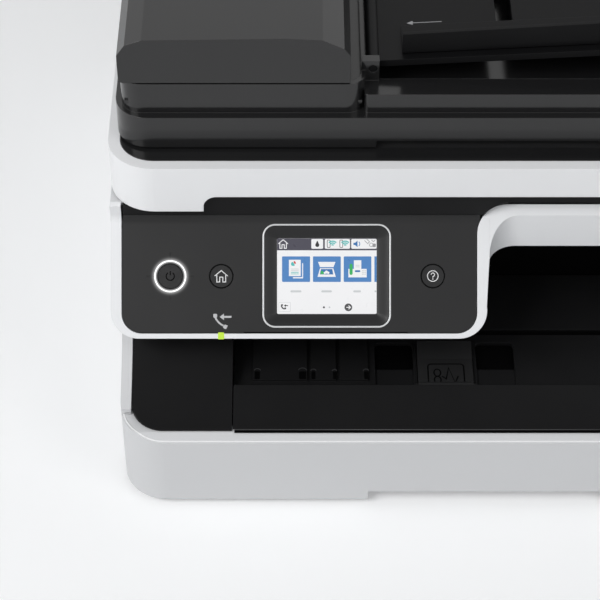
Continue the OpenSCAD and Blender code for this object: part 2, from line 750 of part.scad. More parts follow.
// ---------- electronics and rear ----------
module main_board() {
    color([0.1, 0.35, 0.2]) {
        block(172, 173.6, 84, 158, 54, 124);
        for (k = [0:2]) block(167, 172, 88 + k * 22, 102 + k * 22, 70, 90);
        for (k = [0:4]) rod_x(164, 172, 92 + k * 10, 112, 4);
    }
}
module power_supply() {
    color([0.15, 0.15, 0.16]) difference() {
        block(-178, -152.6, 66, 150, 14, 62);
        for (k = [0:8]) block(-179, -176, 72 + k * 8, 76 + k * 8, 24, 54);
    }
}
ports = [[112, 124], [129, 143], [147, 157]];
module rear_sockets() {
    color([0.1, 0.1, 0.11]) {
        difference() {
            block(-172, -146, 150.4, 169.4, 24, 46);
            slab_y(-169.4, -148.6, 157, 172, 27.4, 42.6);
        }
        for (x = [-162.4, -155.6]) block(x - 0.9, x + 0.9, 156, 162, 34, 36.2);
        difference() {
            union() {
                block(109.4, 160.6, 163, 165.1, 64, 94);
                for (p = ports) block(p[0], p[1], 152, 167.9, 70, 88);
            }
            for (p = ports) block(p[0] + 1.6, p[1] - 1.6, 154, 170, 72, 86);
        }
    }
}
module slab_y(x0, x1, y0, y1, z0, z1) {
    along_y(y0, y1) outline(x0, x1, z0, z1, 4, 1);
}
module duplex_cover() {
    color([0.88, 0.88, 0.89]) {
        difference() {
            union() {
                block(duplex_x0, duplex_x1, 168, back_y, 52.4, 125.6);
                block(duplex_x0 + 2, duplex_x1 - 2, 131, 168.2, 53, 125);
            }
            block(duplex_x0 + 4, duplex_x1 - 4, 125, 170.6, 55.4, 122.6);
            for (x = [-104, 46]) block(x, x + 22, 167, 175, 84, 100);
        }
        for (k = [0:6]) difference() {
            block(duplex_x0 + 20 + k * 29, duplex_x0 + 22 + k * 29, 133, 171, 55, 123);
            rod_x(duplex_x0, duplex_x1, 131, 89, 31);
        }
    }
    color([0.88, 0.88, 0.89]) for (x = [-104, 46]) difference() {
        block(x - 1.4, x + 23.4, 160, 171, 82.6, 101.4);
        block(x, x + 22, 161.4, 172, 84, 100);
    }
}
module maintenance_box() {
    color([0.85, 0.85, 0.86]) {
        block(108.6, 161.4, 166, 170, 9.6, 45.4);
        difference() {
            block(112, 148, 100, 166.4, 10, 44);
            block(114, 146, 102, 164, 14, 45);
        }
        block(116, 144, 104, 162, 14, 36);
    }
}

module pickup_arm() {
    color([0.14, 0.14, 0.15]) difference() {
        union() {
            for (x = [-17, 14]) {
                rod_x(paper_x + x, paper_x + x + 3, arm_y, arm_z, 6);
                along_x(paper_x + x, paper_x + x + 3) polygon([[arm_y, arm_z + 6],
                    [arm_y, arm_z - 6], [tip_y, tip_z - 5], [tip_y, tip_z + 5]]);
                rod_x(paper_x + x, paper_x + x + 3, tip_y, tip_z, 5);
            }
            block(paper_x - 17, paper_x + 17, 76, 98, 62.5, 65.5);
            rod_x(paper_x - 36, paper_x + 36, arm_y, arm_z, 3);
        }
        rod_x(paper_x - 20, paper_x + 20, tip_y, tip_z, 2.55);
    }
}
module pickup_roller() {
    color([0.2, 0.2, 0.2]) {
        rod_x(paper_x - 17.5, paper_x + 17.5, tip_y, tip_z, 2.5);
        for (x = [-12, 2]) rod_x(paper_x + x, paper_x + x + 10, tip_y, tip_z, 11);
    }
}

// ---------- cassette ----------
cas_r = 22;
cas_front_y = -124.9;
cas_floor = 7;
cas_lip_y = -168;
cas_edge_z = 47.1;
module cassette_tray() {
    x0 = paper_x - cassette_w / 2 - 6;
    x1 = paper_x + cassette_w / 2 + 6;
    color([0.9, 0.9, 0.91]) {
        difference() {
            slab(-half_low, half_low, front_y, cas_front_y, 4, cassette_top, cas_r, 0.4);
            along_x(-200, 200) polygon([[front_y - 1, cas_edge_z - 0.4], [cas_lip_y, cassette_top],
                [cas_lip_y, cassette_top + 1], [front_y - 1, cassette_top + 1]]);
            slab(-half_low + 3, x0 - 1, front_y + 3, cas_front_y + 1, 6.5, 46.3, 18, 0.4);
            slab(x1 + 1, half_low - 3, front_y + 3, cas_front_y + 1, 6.5, 46.3, 18, 0.4);
            block(x0 + 2, x1 - 2, -164, cas_front_y + 1, cas_floor + 2.5, 50.5);
            grip();
        }
        difference() {
            block(x0, x1, cas_front_y - 1, 144, cas_floor, 42);
            block(x0 + 2, x1 - 2, -164, 142, cas_floor + 2.5, 43);
            for (y = [-60, 40]) block(x0 + 30, x1 - 30, y, y + 3, cas_floor - 1, cas_floor + 3);
            block(paper_x - 6, paper_x + 6, 70, 134, cas_floor - 1, cas_floor + 3);
        }
    }
}
module grip() {
    block(-60, 60, front_y - 1, front_y + 14, 3, 10);
}
guide_z = cas_floor + 2.6;
module paper_guide(side) {
    x = paper_x + side * 108.3;
    block(x - 1.2, x + 1.2, -110, 60, guide_z, 38);
    block(min(x, x - side * 22), max(x, x - side * 22), -60, -20, guide_z, guide_z + 1.6);
    difference() {
        block(min(x, x - side * 14), max(x, x - side * 14), -50, -30, guide_z, 24);
        block(min(x, x - side * 12), max(x, x - side * 12), -48, -32, guide_z + 2, 26);
    }
}
module left_paper_guide() {
    color([0.2, 0.2, 0.21]) paper_guide(-1);
}
module right_paper_guide() {
    color([0.2, 0.2, 0.21]) paper_guide(1);
}
module rear_paper_guide() {
    color([0.2, 0.2, 0.21]) difference() {
        union() {
            block(paper_x - 24, paper_x + 24, 130, 132.4, guide_z, 36);
            block(paper_x - 24, paper_x + 24, 112, 132, guide_z, guide_z + 1.6);
            block(paper_x - 5, paper_x + 5, 114, 128, cas_floor + 0.2, guide_z + 0.4);
        }
        rod_x(paper_x - 10, paper_x + 10, 122, guide_z + 5, 4);
    }
}

// ---------- output tray ----------
tray_z = 50.2;
tray_mid = 52.1;            // the extension slides below this
tray_floor = 54;
flap_x0 = -34.9;            // paper stop, folded flat
flap_x1 = -7;
flap_y1 = -113;
flap_py = -141.4;
flap_pz = 54.6;
lip_y = -143.9;
front_edge_y = -167.6;
tray_rise = 1.4;
tray_back = exit_y + 6;
pocket_x = [-46.7, 4.8];    // finger pockets either side of the paper stop
pocket_w = 19.4;
pocket_back = -111.2;
module output_tray() {
    x0 = tray_x0;
    x1 = tray_x1;
    color([0.06, 0.06, 0.065]) {
        difference() {
            union() {
                block(x0, x1, lip_y, tray_back, tray_mid, tray_floor);
                for (x = [x0, x1 - 2.6]) block(x, x + 2.6, lip_y, tray_back, tray_z, tray_floor);
                for (p = [[-118.4, -91], [-89, -76.3], [-74.3, -60.1]])
                    block(p[0], p[1], -138, -70, tray_floor - 0.1, tray_floor + tray_rise);
            }
            for (x = pocket_x) {
                slab(x - pocket_w / 2, x + pocket_w / 2, -129, pocket_back, 47, 57, 0.4, 2.6);
                block(x - pocket_w / 2, x + pocket_w / 2, lip_y - 1, -128, tray_mid + 0.8, 57);
            }
            block(flap_x0 - 0.3, flap_x1 + 0.3, lip_y - 1, flap_y1 + 0.3, tray_floor - 1.2, 60);
            rod_x(flap_x0 - 1.6, flap_x1 + 1.6, flap_py, flap_pz, 1.05);
            block(flap_x0 - 0.3, flap_x1 + 0.3, lip_y - 1, flap_py + 2.4, 47, 57);
        }
    }
}
// plate that slides below the tray, with the front lip on it
module tray_extension() {
    lip_back = lip_y - 0.4;
    color([0.08, 0.08, 0.085]) difference() {
        union() {
            block(tray_x0 + 3, tray_x1 - 3, lip_y - 4, tray_back - 3, tray_z, tray_mid - 0.2);
            block(tray_x0, tray_x1, front_edge_y, lip_back, tray_z, 60);
        }
        sweep_cut(-200, 200);
        difference() {
            block(tray_x0 + 2.6, tray_x1 - 2.6, front_edge_y + 2, lip_back - 2.4, tray_z - 1, 60);
            rod_x(-200, 200, sweep_y, sweep_z, sweep_r + 2.4);
            block(-200, 200, lip_y - 4, lip_y + 2, tray_z - 2, tray_mid - 0.2);
        }
    }
}
// paper stop, folded flat; its rear end is bent up
module tray_stopper() {
    top = tray_floor + 1.4;
    color([0.08, 0.08, 0.085]) {
        along_x(flap_x0, flap_x1) polygon([[flap_py, tray_floor - 0.9], [flap_py, top], [-123.7, top],
            [flap_y1, top + 2], [flap_y1, tray_floor - 0.9]]);
        rod_x(flap_x0, flap_x1, flap_py, flap_pz, 1.8);
        rod_x(flap_x0 - 1.4, flap_x1 + 1.4, flap_py, flap_pz, 1);
    }
}

// ---------- scanner unit ----------
unit_back = 168;
rim = 5.75;                 // width of the white rim round the deck
base_under = 142.4;
module scanner_base() {
    lobe_x = 141.4;         // inner edge of the deep corners
    color([0.93, 0.93, 0.94]) {
        difference() {
            slab(-half_w, half_w, band_y, unit_back, lobe_z, band_top, band_r, 12);
            slab(-half_w + wall, half_w - wall, band_y + wall, unit_back - wall, lobe_z + 4,
                band_top - 2, band_r - wall, 10);
            slab(-half_w + rim, half_w - rim, band_y + rim, unit_back - rim, band_top - 3, 180,
                band_r - rim, 7);
            slab(-half_w + wall, half_w - wall, band_y + wall, unit_back - wall, lobe_z - 1,
                base_under + 2.4, band_r - wall, 10);
            along_y(-120, -99) outline(-lobe_x, lobe_x, lobe_z - 9, band_z, 0.5, 6.5);
            for (x = hinge_x) block(x - 6.6, x + 6.6, 157, 171, lobe_z - 1, 149);
        }
        difference() {
            slab(-half_w + 2, half_w - 2, frame_y + 3.2, unit_back - 1, base_under + 2.4, base_under + 4.4,
                band_r - 4, 10);
            for (x = hinge_x) block(x - 6.6, x + 6.6, 156, 171, lobe_z - 1, 150);
        }
        block(-172, 172, 39, 45, base_under + 4, base_under + 6.2);
        for (x = hinge_x) {
            block(x - 8.2, x + 8.2, 154, 156.2, base_under + 3, 151);
            for (s = [-7.4, 7.4])
                block(x + s - 0.8, x + s + 0.8, 154, unit_back - 1, base_under + 3, 151);
            block(x - 8.2, x + 8.2, 154, unit_back - 1, 149.6, 151);
            difference() {
                union() {
                    block(x - 2.6, x + 2.6, 155.5, hinge_y, hinge_z - 2.4, hinge_z + 2.4);
                    rod_x(x - 2.6, x + 2.6, hinge_y, hinge_z, 3.9);
                }
                rod_x(x - 5, x + 5, hinge_y, hinge_z, 2.55);
            }
        }
    }
}
glass_x0 = -148;
glass_x1 = 158;
glass_y0 = -66;
glass_y1 = 154;
module scanner_deck() {
    color([0.05, 0.05, 0.055]) {
        difference() {
            union() {
                slab(-half_w + 2.8, half_w - 2.8, band_y + 2.8, unit_back - 2.8, band_top - 5, band_top - 2.3,
                    band_r - 3, 9.8);
                slab(-half_w + rim + 0.3, half_w - rim - 0.3, band_y + rim + 0.3, unit_back - rim - 0.3,
                    band_top - 2.8, band_top, band_r - rim - 0.3, 6.8);
            }
            block(glass_x0, glass_x1, glass_y0, glass_y1, 150, 180);
            block(-172, -158, glass_y0, glass_y1, 150, 180);
        }
        for (x = lid_hinge_x) {
            for (s = [-7, 7])
                block(x + s - 1.6, x + s + 1.6, 155, 161.8, band_top - 1, lid_hinge_z + 3.4);
            rod_x(x - 7, x + 7, lid_hinge_y, lid_hinge_z, 2);
        }
    }
}
module scan_glass() {
    color([0.7, 0.8, 0.82, 0.4]) {
        block(glass_x0 + 0.3, glass_x1 - 0.3, glass_y0 + 0.3, glass_y1 - 0.3, band_top - 3.2, band_top - 0.2);
        block(-171.7, -158.3, glass_y0 + 0.3, glass_y1 - 0.3, band_top - 3.2, band_top - 0.2);
    }
}
module scan_carriage() {
    color([0.12, 0.12, 0.13]) {
        difference() {
            block(-172, -154, glass_y0 + 2, glass_y1 - 2, 151, 162.9);
            block(-168, -158, glass_y0 + 5, glass_y1 - 5, 161.4, 164);
        }
        block(-166, -162, glass_y0 + 6, glass_y1 - 6, 161, 162.5);
    }
    color([0.12, 0.12, 0.13]) block(-170, -156, 36, 48, 148.9, 151.2);
}

// ---------- document cover and feeder ----------
lid_y0 = -92;
lid_z0 = 169.7;
lid_top = 188;
lid_hinge_y = 159;
lid_hinge_z = 175;
lid_hinge_x = [-127, 127];
module document_cover() {
    color([0.07, 0.07, 0.075]) difference() {
        union() {
            difference() {
                slab(-183, 183, lid_y0, 153, lid_z0, lid_top, 16, 10);
                slab(-180.4, 180.4, lid_y0 + 2.6, 150.4, lid_z0 - 1, lid_z0 + 3, 13.4, 8);
                slab(-180.4, 180.4, lid_y0 + 2.6, 150.4, lid_z0 + 5, lid_top - 2.4, 13.4, 8);
                slab(-58, 58, lid_y0 - 4, lid_y0 + 3, lid_z0 - 1, lid_z0 + 4, 1.5, 1.5);
                slab(-177, -66, -84, 144, lid_top - 3, lid_top + 1, 8, 8);
            }
            for (x = lid_hinge_x) {
                block(x - 5, x + 5, 150, lid_hinge_y, lid_hinge_z - 3.6, lid_hinge_z + 3.6);
                rod_x(x - 5, x + 5, lid_hinge_y, lid_hinge_z, 3.9);
            }
            difference() {
                slab(adf_x0, adf_x1, -88, 148, lid_top - 0.5, adf_base_z, 10, 2);
                slab(adf_x0 + wall, adf_x1 - wall, -85.5, 145.5, lid_top - 4, adf_base_z + 1, 8, 1);
                block(adf_x1 - 4, adf_x1 + 1, -73.4, 133.4, 201.6, 215);
            }
            difference() {
                block(adf_x0 + 2, adf_x1 - 2, -86, 146, 192, 194);
                block(-150, -90, -20, 80, 190, 198);
            }
            for (y = [-77.2, 132.6]) block(adf_x1 - 2.4, adf_x1 + 6, y, y + 4.6, lid_top - 0.5, 210.4);
            for (y = [-20, 77]) block(-101, -83, y, y + 3, 193, 209);
            difference() {
                slab(adf_x1 - 1, 178, -88, 148, lid_top - 0.5, 199, 2, 10);
                slab(adf_x1 - 2, 168, -76, 136, lid_top - 1, 200, 2, 8);
            }
        }
        for (x = lid_hinge_x) rod_x(x - 6, x + 6, lid_hinge_y, lid_hinge_z, 2.05);
        rod_y(tray_px, -80, 140, tray_pz, 2.05);
        rod_y(-92, -30, 90, 204.6, 2.55);
        for (y = [-82, 139]) rod_y(adf_hinge_x, y - 6, y + 6, adf_hinge_z, 1.55);
    }
}
adf_x0 = -180;              // feeder housing
adf_x1 = -63;
adf_base_z = 205.2;
adf_hinge_x = -177.4;
adf_hinge_z = 208.4;
tray_px = -60;              // hinge of the input tray
tray_pz = 206;
module adf_cover() {
    color([0.06, 0.06, 0.065]) {
        difference() {
            along_y(-88, 148) {
                polygon([[-180, 208.4], [-180, 222], [-176, 228], [-168, 231],
                    [-100, 232], [-84, 231], [-74, 226], [-71, 222], [-71, 206], [-177.4, 206]]);
                translate([adf_hinge_x, adf_hinge_z]) circle(2.5);
            }
            along_y(-85.4, 145.4) polygon([[-174.6, 205], [-174.6, 222], [-168, 228.2],
                [-100, 229.4], [-84, 228.4], [-76, 224], [-73.6, 220], [-73.6, 205]]);
            block(-75, -60, -72, 132, 200, 214);
        }
        for (y = [-85.5, 144.5]) rod_y(adf_hinge_x, y, y + 1, adf_hinge_z, 2);
    }
}
module adf_tray() {
    color([0.07, 0.07, 0.075]) {
        difference() {
            union() {
                along_y(-72, 132) polygon([[-62, 203.4], [-52, 203.4], [120, 214], [150, 216],
                    [150, 219.4], [120, 217.4], [-60, 206.5], [-62, 208]]);
                rod_y(tray_px, -72, 132, tray_pz, 3.2);
                rod_y(tray_px, -76.8, 136.8, tray_pz, 2);
            }
            for (y = [-60, 36]) block(0, 8, y, y + 84, 200, 220);
        }
    }
}
// one edge guide, drawn at the front and mirrored about the paper's centre line
module adf_guide() {
    along_y(-68, -66) polygon([[-46, 208], [-46, 219], [60, 226.6], [60, 214.4]]);
    along_y(-68, -48) polygon([[-46, 208], [-46, 209.2], [60, 215.6], [60, 214.4]]);
    block(0.6, 7.4, -58, -50, 206, 212);
}
module adf_front_guide() {
    color([0.1, 0.1, 0.105]) adf_guide();
}
module adf_rear_guide() {
    color([0.1, 0.1, 0.105]) translate([0, 60, 0]) mirror([0, 1, 0]) adf_guide();
}
module adf_roller() {
    color([0.3, 0.3, 0.31]) {
        rod_y(-92, -20, 80, 204.6, 2.5);
        for (y = [8, 36]) rod_y(-92, y, y + 16, 204.6, 9);
    }
}

base_frame();
feet();
left_side_cover();
right_side_cover();
rear_panel();
front_panels();
top_frame();
panel_housing();
tank_housing();
tank_window();
tank_black();
tank_cyan();
tank_magenta();
tank_yellow();
cap_black();
cap_cyan();
cap_magenta();
cap_yellow();
tank_cover();
mechanism_frame();
carriage_rail();
platen();
feed_roller();
exit_roller();
motors();
motor_pinion();
drive_pulley();
idle_pulley();
carriage_belt();
print_carriage();
print_head();
main_board();
power_supply();
rear_sockets();
duplex_cover();
maintenance_box();
pickup_arm();
pickup_roller();
cassette_tray();
left_paper_guide();
right_paper_guide();
rear_paper_guide();
output_tray();
tray_extension();
tray_stopper();
panel_fascia();
screen();
power_button();
home_button();
help_button();
scanner_base();
scanner_deck();
scan_glass();
scan_carriage();
document_cover();
adf_cover();
adf_tray();
adf_front_guide();
adf_rear_guide();
adf_roller();
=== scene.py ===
import json
import math

import bpy
import numpy as np
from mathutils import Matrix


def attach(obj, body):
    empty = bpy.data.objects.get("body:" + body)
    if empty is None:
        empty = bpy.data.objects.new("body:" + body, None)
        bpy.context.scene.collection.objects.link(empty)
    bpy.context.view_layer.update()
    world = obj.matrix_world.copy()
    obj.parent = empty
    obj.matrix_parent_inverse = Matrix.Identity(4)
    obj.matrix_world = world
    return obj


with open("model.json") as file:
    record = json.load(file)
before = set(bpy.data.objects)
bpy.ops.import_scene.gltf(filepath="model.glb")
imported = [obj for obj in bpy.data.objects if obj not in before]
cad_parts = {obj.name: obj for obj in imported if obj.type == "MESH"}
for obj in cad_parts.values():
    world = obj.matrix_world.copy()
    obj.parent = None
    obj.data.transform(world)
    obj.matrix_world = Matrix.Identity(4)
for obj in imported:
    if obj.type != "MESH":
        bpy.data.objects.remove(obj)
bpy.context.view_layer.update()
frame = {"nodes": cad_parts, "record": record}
nodes = frame["nodes"]
mm = 0.001
print("frame loaded:", len(nodes), "nodes")

view = {
    "target": (-94.6, -130.1, 104.1),  # millimetres, on the line of sight
    "distance": 1000.0,
    "elevation": 45.0,
    "focalPixels": 2040.0, "frameWidth": 600,
    "sensor": 36.0,
}


# a new object in the scene for a camera, a lamp or a mesh
def addObject(name, data):
    obj = bpy.data.objects.new(name, data)
    bpy.context.scene.collection.objects.link(obj)
    return obj


# the camera sits the distance away along a line that rises from the target towards the front; its
# lens in millimetres is the focal length as a share of the frame's width, times the sensor's width
def makeCamera():
    cam = bpy.data.cameras.new("camera")
    cam.sensor_width = view["sensor"]
    cam.lens = view["focalPixels"] / view["frameWidth"] * view["sensor"]
    obj = addObject("camera", cam)
    rise = math.radians(view["elevation"])
    x, y, z = view["target"]
    d = view["distance"]
    obj.location = (x * mm, (y - d * math.cos(rise)) * mm, (z + d * math.sin(rise)) * mm)
    obj.rotation_euler = (math.radians(90) - rise, 0, 0)
    bpy.context.scene.camera = obj


# each lamp: where it stands (azimuth from the front, to the right positive, and elevation, both
# degrees), how far off, how wide and high, and its power in watts
studio = {
    "aim": (-0.04, -0.08, 0.1),
    "lamps": {
        "keyLamp": dict(az=-50, el=44, far=2.4, size=(1.3, 1.0), power=33.5),
        "fillLamp": dict(az=50, el=38, far=2.6, size=(1.3, 1.0), power=9.5),
    },
    "sky": 0.28, "skyColour": (0.95, 0.97, 1.0),
    "floor": (0.86, 0.865, 0.87), "floorRough": 0.8, "floorHalf": 6.0, "floorLift": 0.2,
    "sweep": (0.7, 2.6),  # how far out the floor begins to turn white, and where it ends, in metres
}


# a lamp stands on a sphere of radius far round the aim and faces its middle
def makeLamp(name, az, el, far, size, power):
    lamp = bpy.data.lights.new(name, "AREA")
    lamp.shape = "RECTANGLE"
    lamp.size, lamp.size_y = size
    lamp.energy = power
    obj = addObject(name, lamp)
    a, e = math.radians(az), math.radians(el)
    ax, ay, az0 = studio["aim"]
    obj.location = (ax + far * math.cos(e) * math.sin(a), ay - far * math.cos(e) * math.cos(a),
                    az0 + far * math.sin(e))
    obj.rotation_euler = (math.pi / 2 - e, 0, a)


# each input of a shader node takes a value, or a link when it's given another node's output
def feed(tree, node, inputs):
    for key, value in inputs.items():
        if isinstance(value, bpy.types.NodeSocket):
            tree.links.new(value, node.inputs[key])
        else:
            node.inputs[key].default_value = value
    return node


# a shader node of a kind, with its settings by name
def newNode(tree, kind, inputs=None, **settings):
    node = tree.nodes.new("ShaderNode" + kind)
    for key, value in settings.items():
        setattr(node, key, value)
    return feed(tree, node, inputs or {})


# 1 for rays that a viewer sees straight, in a reflection or through glass, else 0
def seenRay(tree):
    path = newNode(tree, "LightPath").outputs
    last = path["Is Camera Ray"]
    for kind in ("Is Glossy Ray", "Is Transmission Ray"):
        last = newNode(tree, "Math", {0: last, 1: path[kind]}, operation="MAXIMUM").outputs[0]
    return last


# dim sky for the light that falls on the object, plain white for what a viewer sees
def makeWorld():
    world = bpy.data.worlds.new("studioAir")
    bpy.context.scene.world = world
    world.use_nodes = True
    tree = world.node_tree
    sky = feed(tree, tree.nodes["Background"], {"Color": (*studio["skyColour"], 1),
                                                "Strength": studio["sky"]})
    white = newNode(tree, "Background", {"Color": (1, 1, 1, 1)})
    mix = newNode(tree, "MixShader", {0: seenRay(tree), 1: sky.outputs[0], 2: white.outputs[0]})
    feed(tree, tree.nodes["World Output"], {0: mix.outputs[0]})


# pale floor; the light of its own that a viewer sees rises from floorLift to 1, by a smooth step of
# the distance from its middle
def makeFloor():
    mesh = bpy.data.meshes.new("floor")
    s = studio["floorHalf"]
    mesh.from_pydata([(-s, -s, 0), (s, -s, 0), (s, s, 0), (-s, s, 0)], [], [(0, 1, 2, 3)])
    obj = addObject("floor", mesh)
    mat = bpy.data.materials.new("floorPaper")
    mat.use_nodes = True
    tree = mat.node_tree
    spot = newNode(tree, "TexCoord").outputs["Object"]
    far = newNode(tree, "VectorMath", {0: spot}, operation="LENGTH").outputs["Value"]
    start, end = studio["sweep"]
    rise = newNode(tree, "MapRange", interpolation_type="SMOOTHSTEP")
    feed(tree, rise, {"Value": far, "From Min": start, "From Max": end, "To Min": studio["floorLift"],
                      "To Max": 1})
    lift = newNode(tree, "Math", {0: seenRay(tree), 1: rise.outputs["Result"]}, operation="MULTIPLY")
    feed(tree, tree.nodes["Principled BSDF"],
         {"Base Color": (*studio["floor"], 1), "Roughness": studio["floorRough"],
          "Emission Color": (1, 1, 1, 1), "Emission Strength": lift.outputs[0]})
    mesh.materials.append(mat)


bpy.context.scene.view_settings.view_transform = "Standard"
makeCamera()
for lampName, lampFacts in studio["lamps"].items():
    makeLamp(lampName, **lampFacts)
makeWorld()
makeFloor()
print("camera, lamps and floor made")


# Finishes: every one is a Principled shader whose colour, gloss and grain are noise on Object
# coordinates; noise scales are in features per metre and grain depths in metres.
def newFinish(name, colour, rough, edge=0.4, **sockets):
    mat = bpy.data.materials.new(name)
    mat.use_nodes = True
    tree = mat.node_tree
    skin = feed(tree, tree.nodes["Principled BSDF"],
                {"Roughness": rough, **{key.replace("_", " "): value for key, value in sockets.items()}})
    f = dict(mat=mat, tree=tree, skin=skin, colour=np.array(colour[:3], float), normal=None)
    f["coords"] = newNode(tree, "TexCoord").outputs["Object"]
    if edge:  # corners catch the light as moulded ones do
        f["normal"] = newNode(tree, "Bevel", {"Radius": edge * mm}, samples=4).outputs[0]
        feed(tree, skin, {"Normal": f["normal"]})
    return f


# noise on the piece's own coordinates, stretched along an axis where asked
def addNoise(f, scale, detail, stretch):
    source = f["coords"]
    if stretch:
        source = newNode(f["tree"], "Mapping", {"Vector": source, "Scale": stretch}).outputs[0]
    return newNode(f["tree"], "TexNoise", {"Vector": source, "Scale": scale, "Detail": detail}).outputs["Fac"]


# the colour wanders between 1 - spread and 1 + spread of itself
def addTint(f, scale, spread, stretch=None):
    ramp = newNode(f["tree"], "ValToRGB", {0: addNoise(f, scale, 2.0, stretch)})
    for element, place, factor in zip(ramp.color_ramp.elements, (0.3, 0.7), (1 - spread, 1 + spread)):
        element.position, element.color = place, (*np.clip(f["colour"] * factor, 0, 1), 1)
    feed(f["tree"], f["skin"], {"Base Color": ramp.outputs[0]})


# roughness wanders between low and high
def addGloss(f, scale, low, high, stretch=None):
    mapped = newNode(f["tree"], "MapRange", {"Value": addNoise(f, scale, 3.0, stretch), "From Min": 0.3,
                                             "From Max": 0.7, "To Min": low, "To Max": high})
    feed(f["tree"], f["skin"], {"Roughness": mapped.outputs[0]})


# fine relief of the given depth on top of the rounded corners
def addGrain(f, scale, depth, strength=1.0, stretch=None):
    bump = newNode(f["tree"], "Bump", {"Distance": depth, "Strength": strength,
                                       "Height": addNoise(f, scale, 2.0, stretch)})
    if f["normal"]:
        feed(f["tree"], bump, {"Normal": f["normal"]})
    f["normal"] = bump.outputs[0]
    feed(f["tree"], f["skin"], {"Normal": f["normal"]})


# a whole finish in one line: colour and roughness, spread and scale of the tint, the grain's scale,
# depth and strength, scale of the gloss, radius of the corners; roughness wanders by the share sheen
def moulded(name, colour, rough, spread=0.05, tintScale=50, grain=(2000, 2e-5, 0.3),
            glossScale=700, edge=0.4, stretch=None, sheen=0.15, **sockets):
    f = newFinish(name, colour, rough, edge, **sockets)
    addTint(f, tintScale, spread, stretch)
    addGloss(f, glossScale, rough * (1 - sheen), rough * (1 + sheen), stretch)
    if grain:
        addGrain(f, *grain, stretch=stretch)
    return f["mat"]


shell = dict(spread=0.008, tintScale=9, grain=(2600, 6e-6, 0.3), glossScale=900, sheen=0.06)
satin = dict(spread=0.1, tintScale=30, grain=(3000, 1e-5, 0.35), glossScale=900, sheen=0.06)
metal = dict(tintScale=60, Metallic=1.0)
finishes = {
    "white_shell": moulded("whiteShell", (0.9, 0.905, 0.915), 0.45, **shell),
    # the lower body's white plastic, greyer than white_shell to paint the shade that falls on it
    "casing": moulded("casingWhite", (0.68, 0.685, 0.695), 0.5, **shell),
    "ribbon": moulded("ribbonWhite", (0.84, 0.848, 0.86), 0.3, 0.006, 12, (900, 3e-6, 0.15), 60,
                      sheen=0.05, Coat_Weight=0.2, Coat_Roughness=0.15),
    "black_satin": moulded("blackSatin", (0.0052, 0.0052, 0.0056), 0.42, Specular_IOR_Level=0.1, **satin),
    "tray_black": moulded("trayBlack", (0.01, 0.01, 0.0105), 0.42, Specular_IOR_Level=0.12, **satin),
    "stop_black": moulded("stopBlack", (0.019, 0.019, 0.0195), 0.42, Specular_IOR_Level=0.15, **satin),
    # near-black for printed signs, and for dark sheets and parts that paint shade in grooves, pockets, gaps
    # and the paper outlet
    "deep_black": moulded("deepBlackPrintAndPaintedShade", (0.0012, 0.0012, 0.0013), 0.6, 0.1, 40, (2500, 2e-5, 0.3),
                          Specular_IOR_Level=0.04),
    "panel_black": moulded("panelBlack", (0.0165, 0.0165, 0.017), 0.34, 0.04, 20, (2200, 2e-6, 0.1), 40,
                           sheen=0.05, Specular_IOR_Level=0.24),
    "black_gloss": moulded("blackGloss", (0.0135, 0.0135, 0.014), 0.16, 0.06, 14, (420, 3e-6, 0.15), 40,
                           sheen=0.1),
    "dark_grey": moulded("darkMould", (0.03, 0.03, 0.032), 0.5, 0.15, 40, (2400, 5e-5, 0.5), 900),
    "rubber_feet": moulded("footRubber", (0.03, 0.03, 0.03), 0.75, 0.12, 120, (2500, 6e-5, 0.6)),
    "zinc_steel": moulded("zincSteel", (0.55, 0.56, 0.57), 0.38, 0.08, grain=(900, 2e-5, 0.25), **metal),
    "polished_steel": moulded("rodSteel", (0.75, 0.75, 0.76), 0.16, 0.04, grain=(900, 1e-5, 0.2),
                              stretch=(0.1, 1, 1), **metal),
    "motor_steel": moulded("motorSteel", (0.5, 0.5, 0.52), 0.34, 0.06, grain=(900, 1e-5, 0.2), **metal),
    "roller_black": moulded("rollerBlack", (0.03, 0.03, 0.033), 0.6),
    "rubber_roller": moulded("rollerRubber", (0.11, 0.11, 0.115), 0.75, 0.1, 90, (2500, 5e-5, 0.6)),
    "gear_plastic": moulded("gearPlastic", (0.72, 0.68, 0.58), 0.45),
    "brass_pulley": moulded("pulleyBrass", (0.62, 0.45, 0.18), 0.3, Metallic=1.0),
    "belt_rubber": moulded("beltRubber", (0.015, 0.015, 0.015), 0.75),
    "circuit_board": moulded("circuitBoard", (0.02, 0.14, 0.06), 0.35, 0.3, 160, (900, 8e-5, 0.6)),
    "pale_plastic": moulded("palePlastic", (0.55, 0.56, 0.57), 0.5),
    "clear_glass": moulded("scanGlass", (0.75, 0.85, 0.84), 0.06, 0.03, 20, None, 40, 0, Alpha=0.28),
    "screen_glass": moulded("screenGlass", (0.012, 0.016, 0.03), 0.18, 0.05, 30, None),
    "button_black": moulded("buttonBlack", (0.017, 0.017, 0.0175), 0.33, 0.05, 60, (2200, 8e-6, 0.2), 260,
                            Specular_IOR_Level=0.24),
}
inks = {"black": (0.012, 0.012, 0.014), "cyan": (0.01, 0.22, 0.5), "magenta": (0.45, 0.012, 0.16),
        "yellow": (0.8, 0.52, 0.01)}
for ink, shade in inks.items():
    finishes["tank_clear_" + ink] = moulded("tank" + ink.title(), shade, 0.22, 0.12, 60, (500, 3e-5, 0.3),
                                            Coat_Weight=0.6, Coat_Roughness=0.08, stretch=(1, 1, 0.4))
    capShade = tuple(np.array(shade) * 0.9 + 0.01)
    finishes["cap_%s_rubber" % ink] = moulded("cap" + ink.title(), capShade, 0.7)

slotOf = {s["node"]: s["material_slot"] for s in frame["record"]["subparts"]}
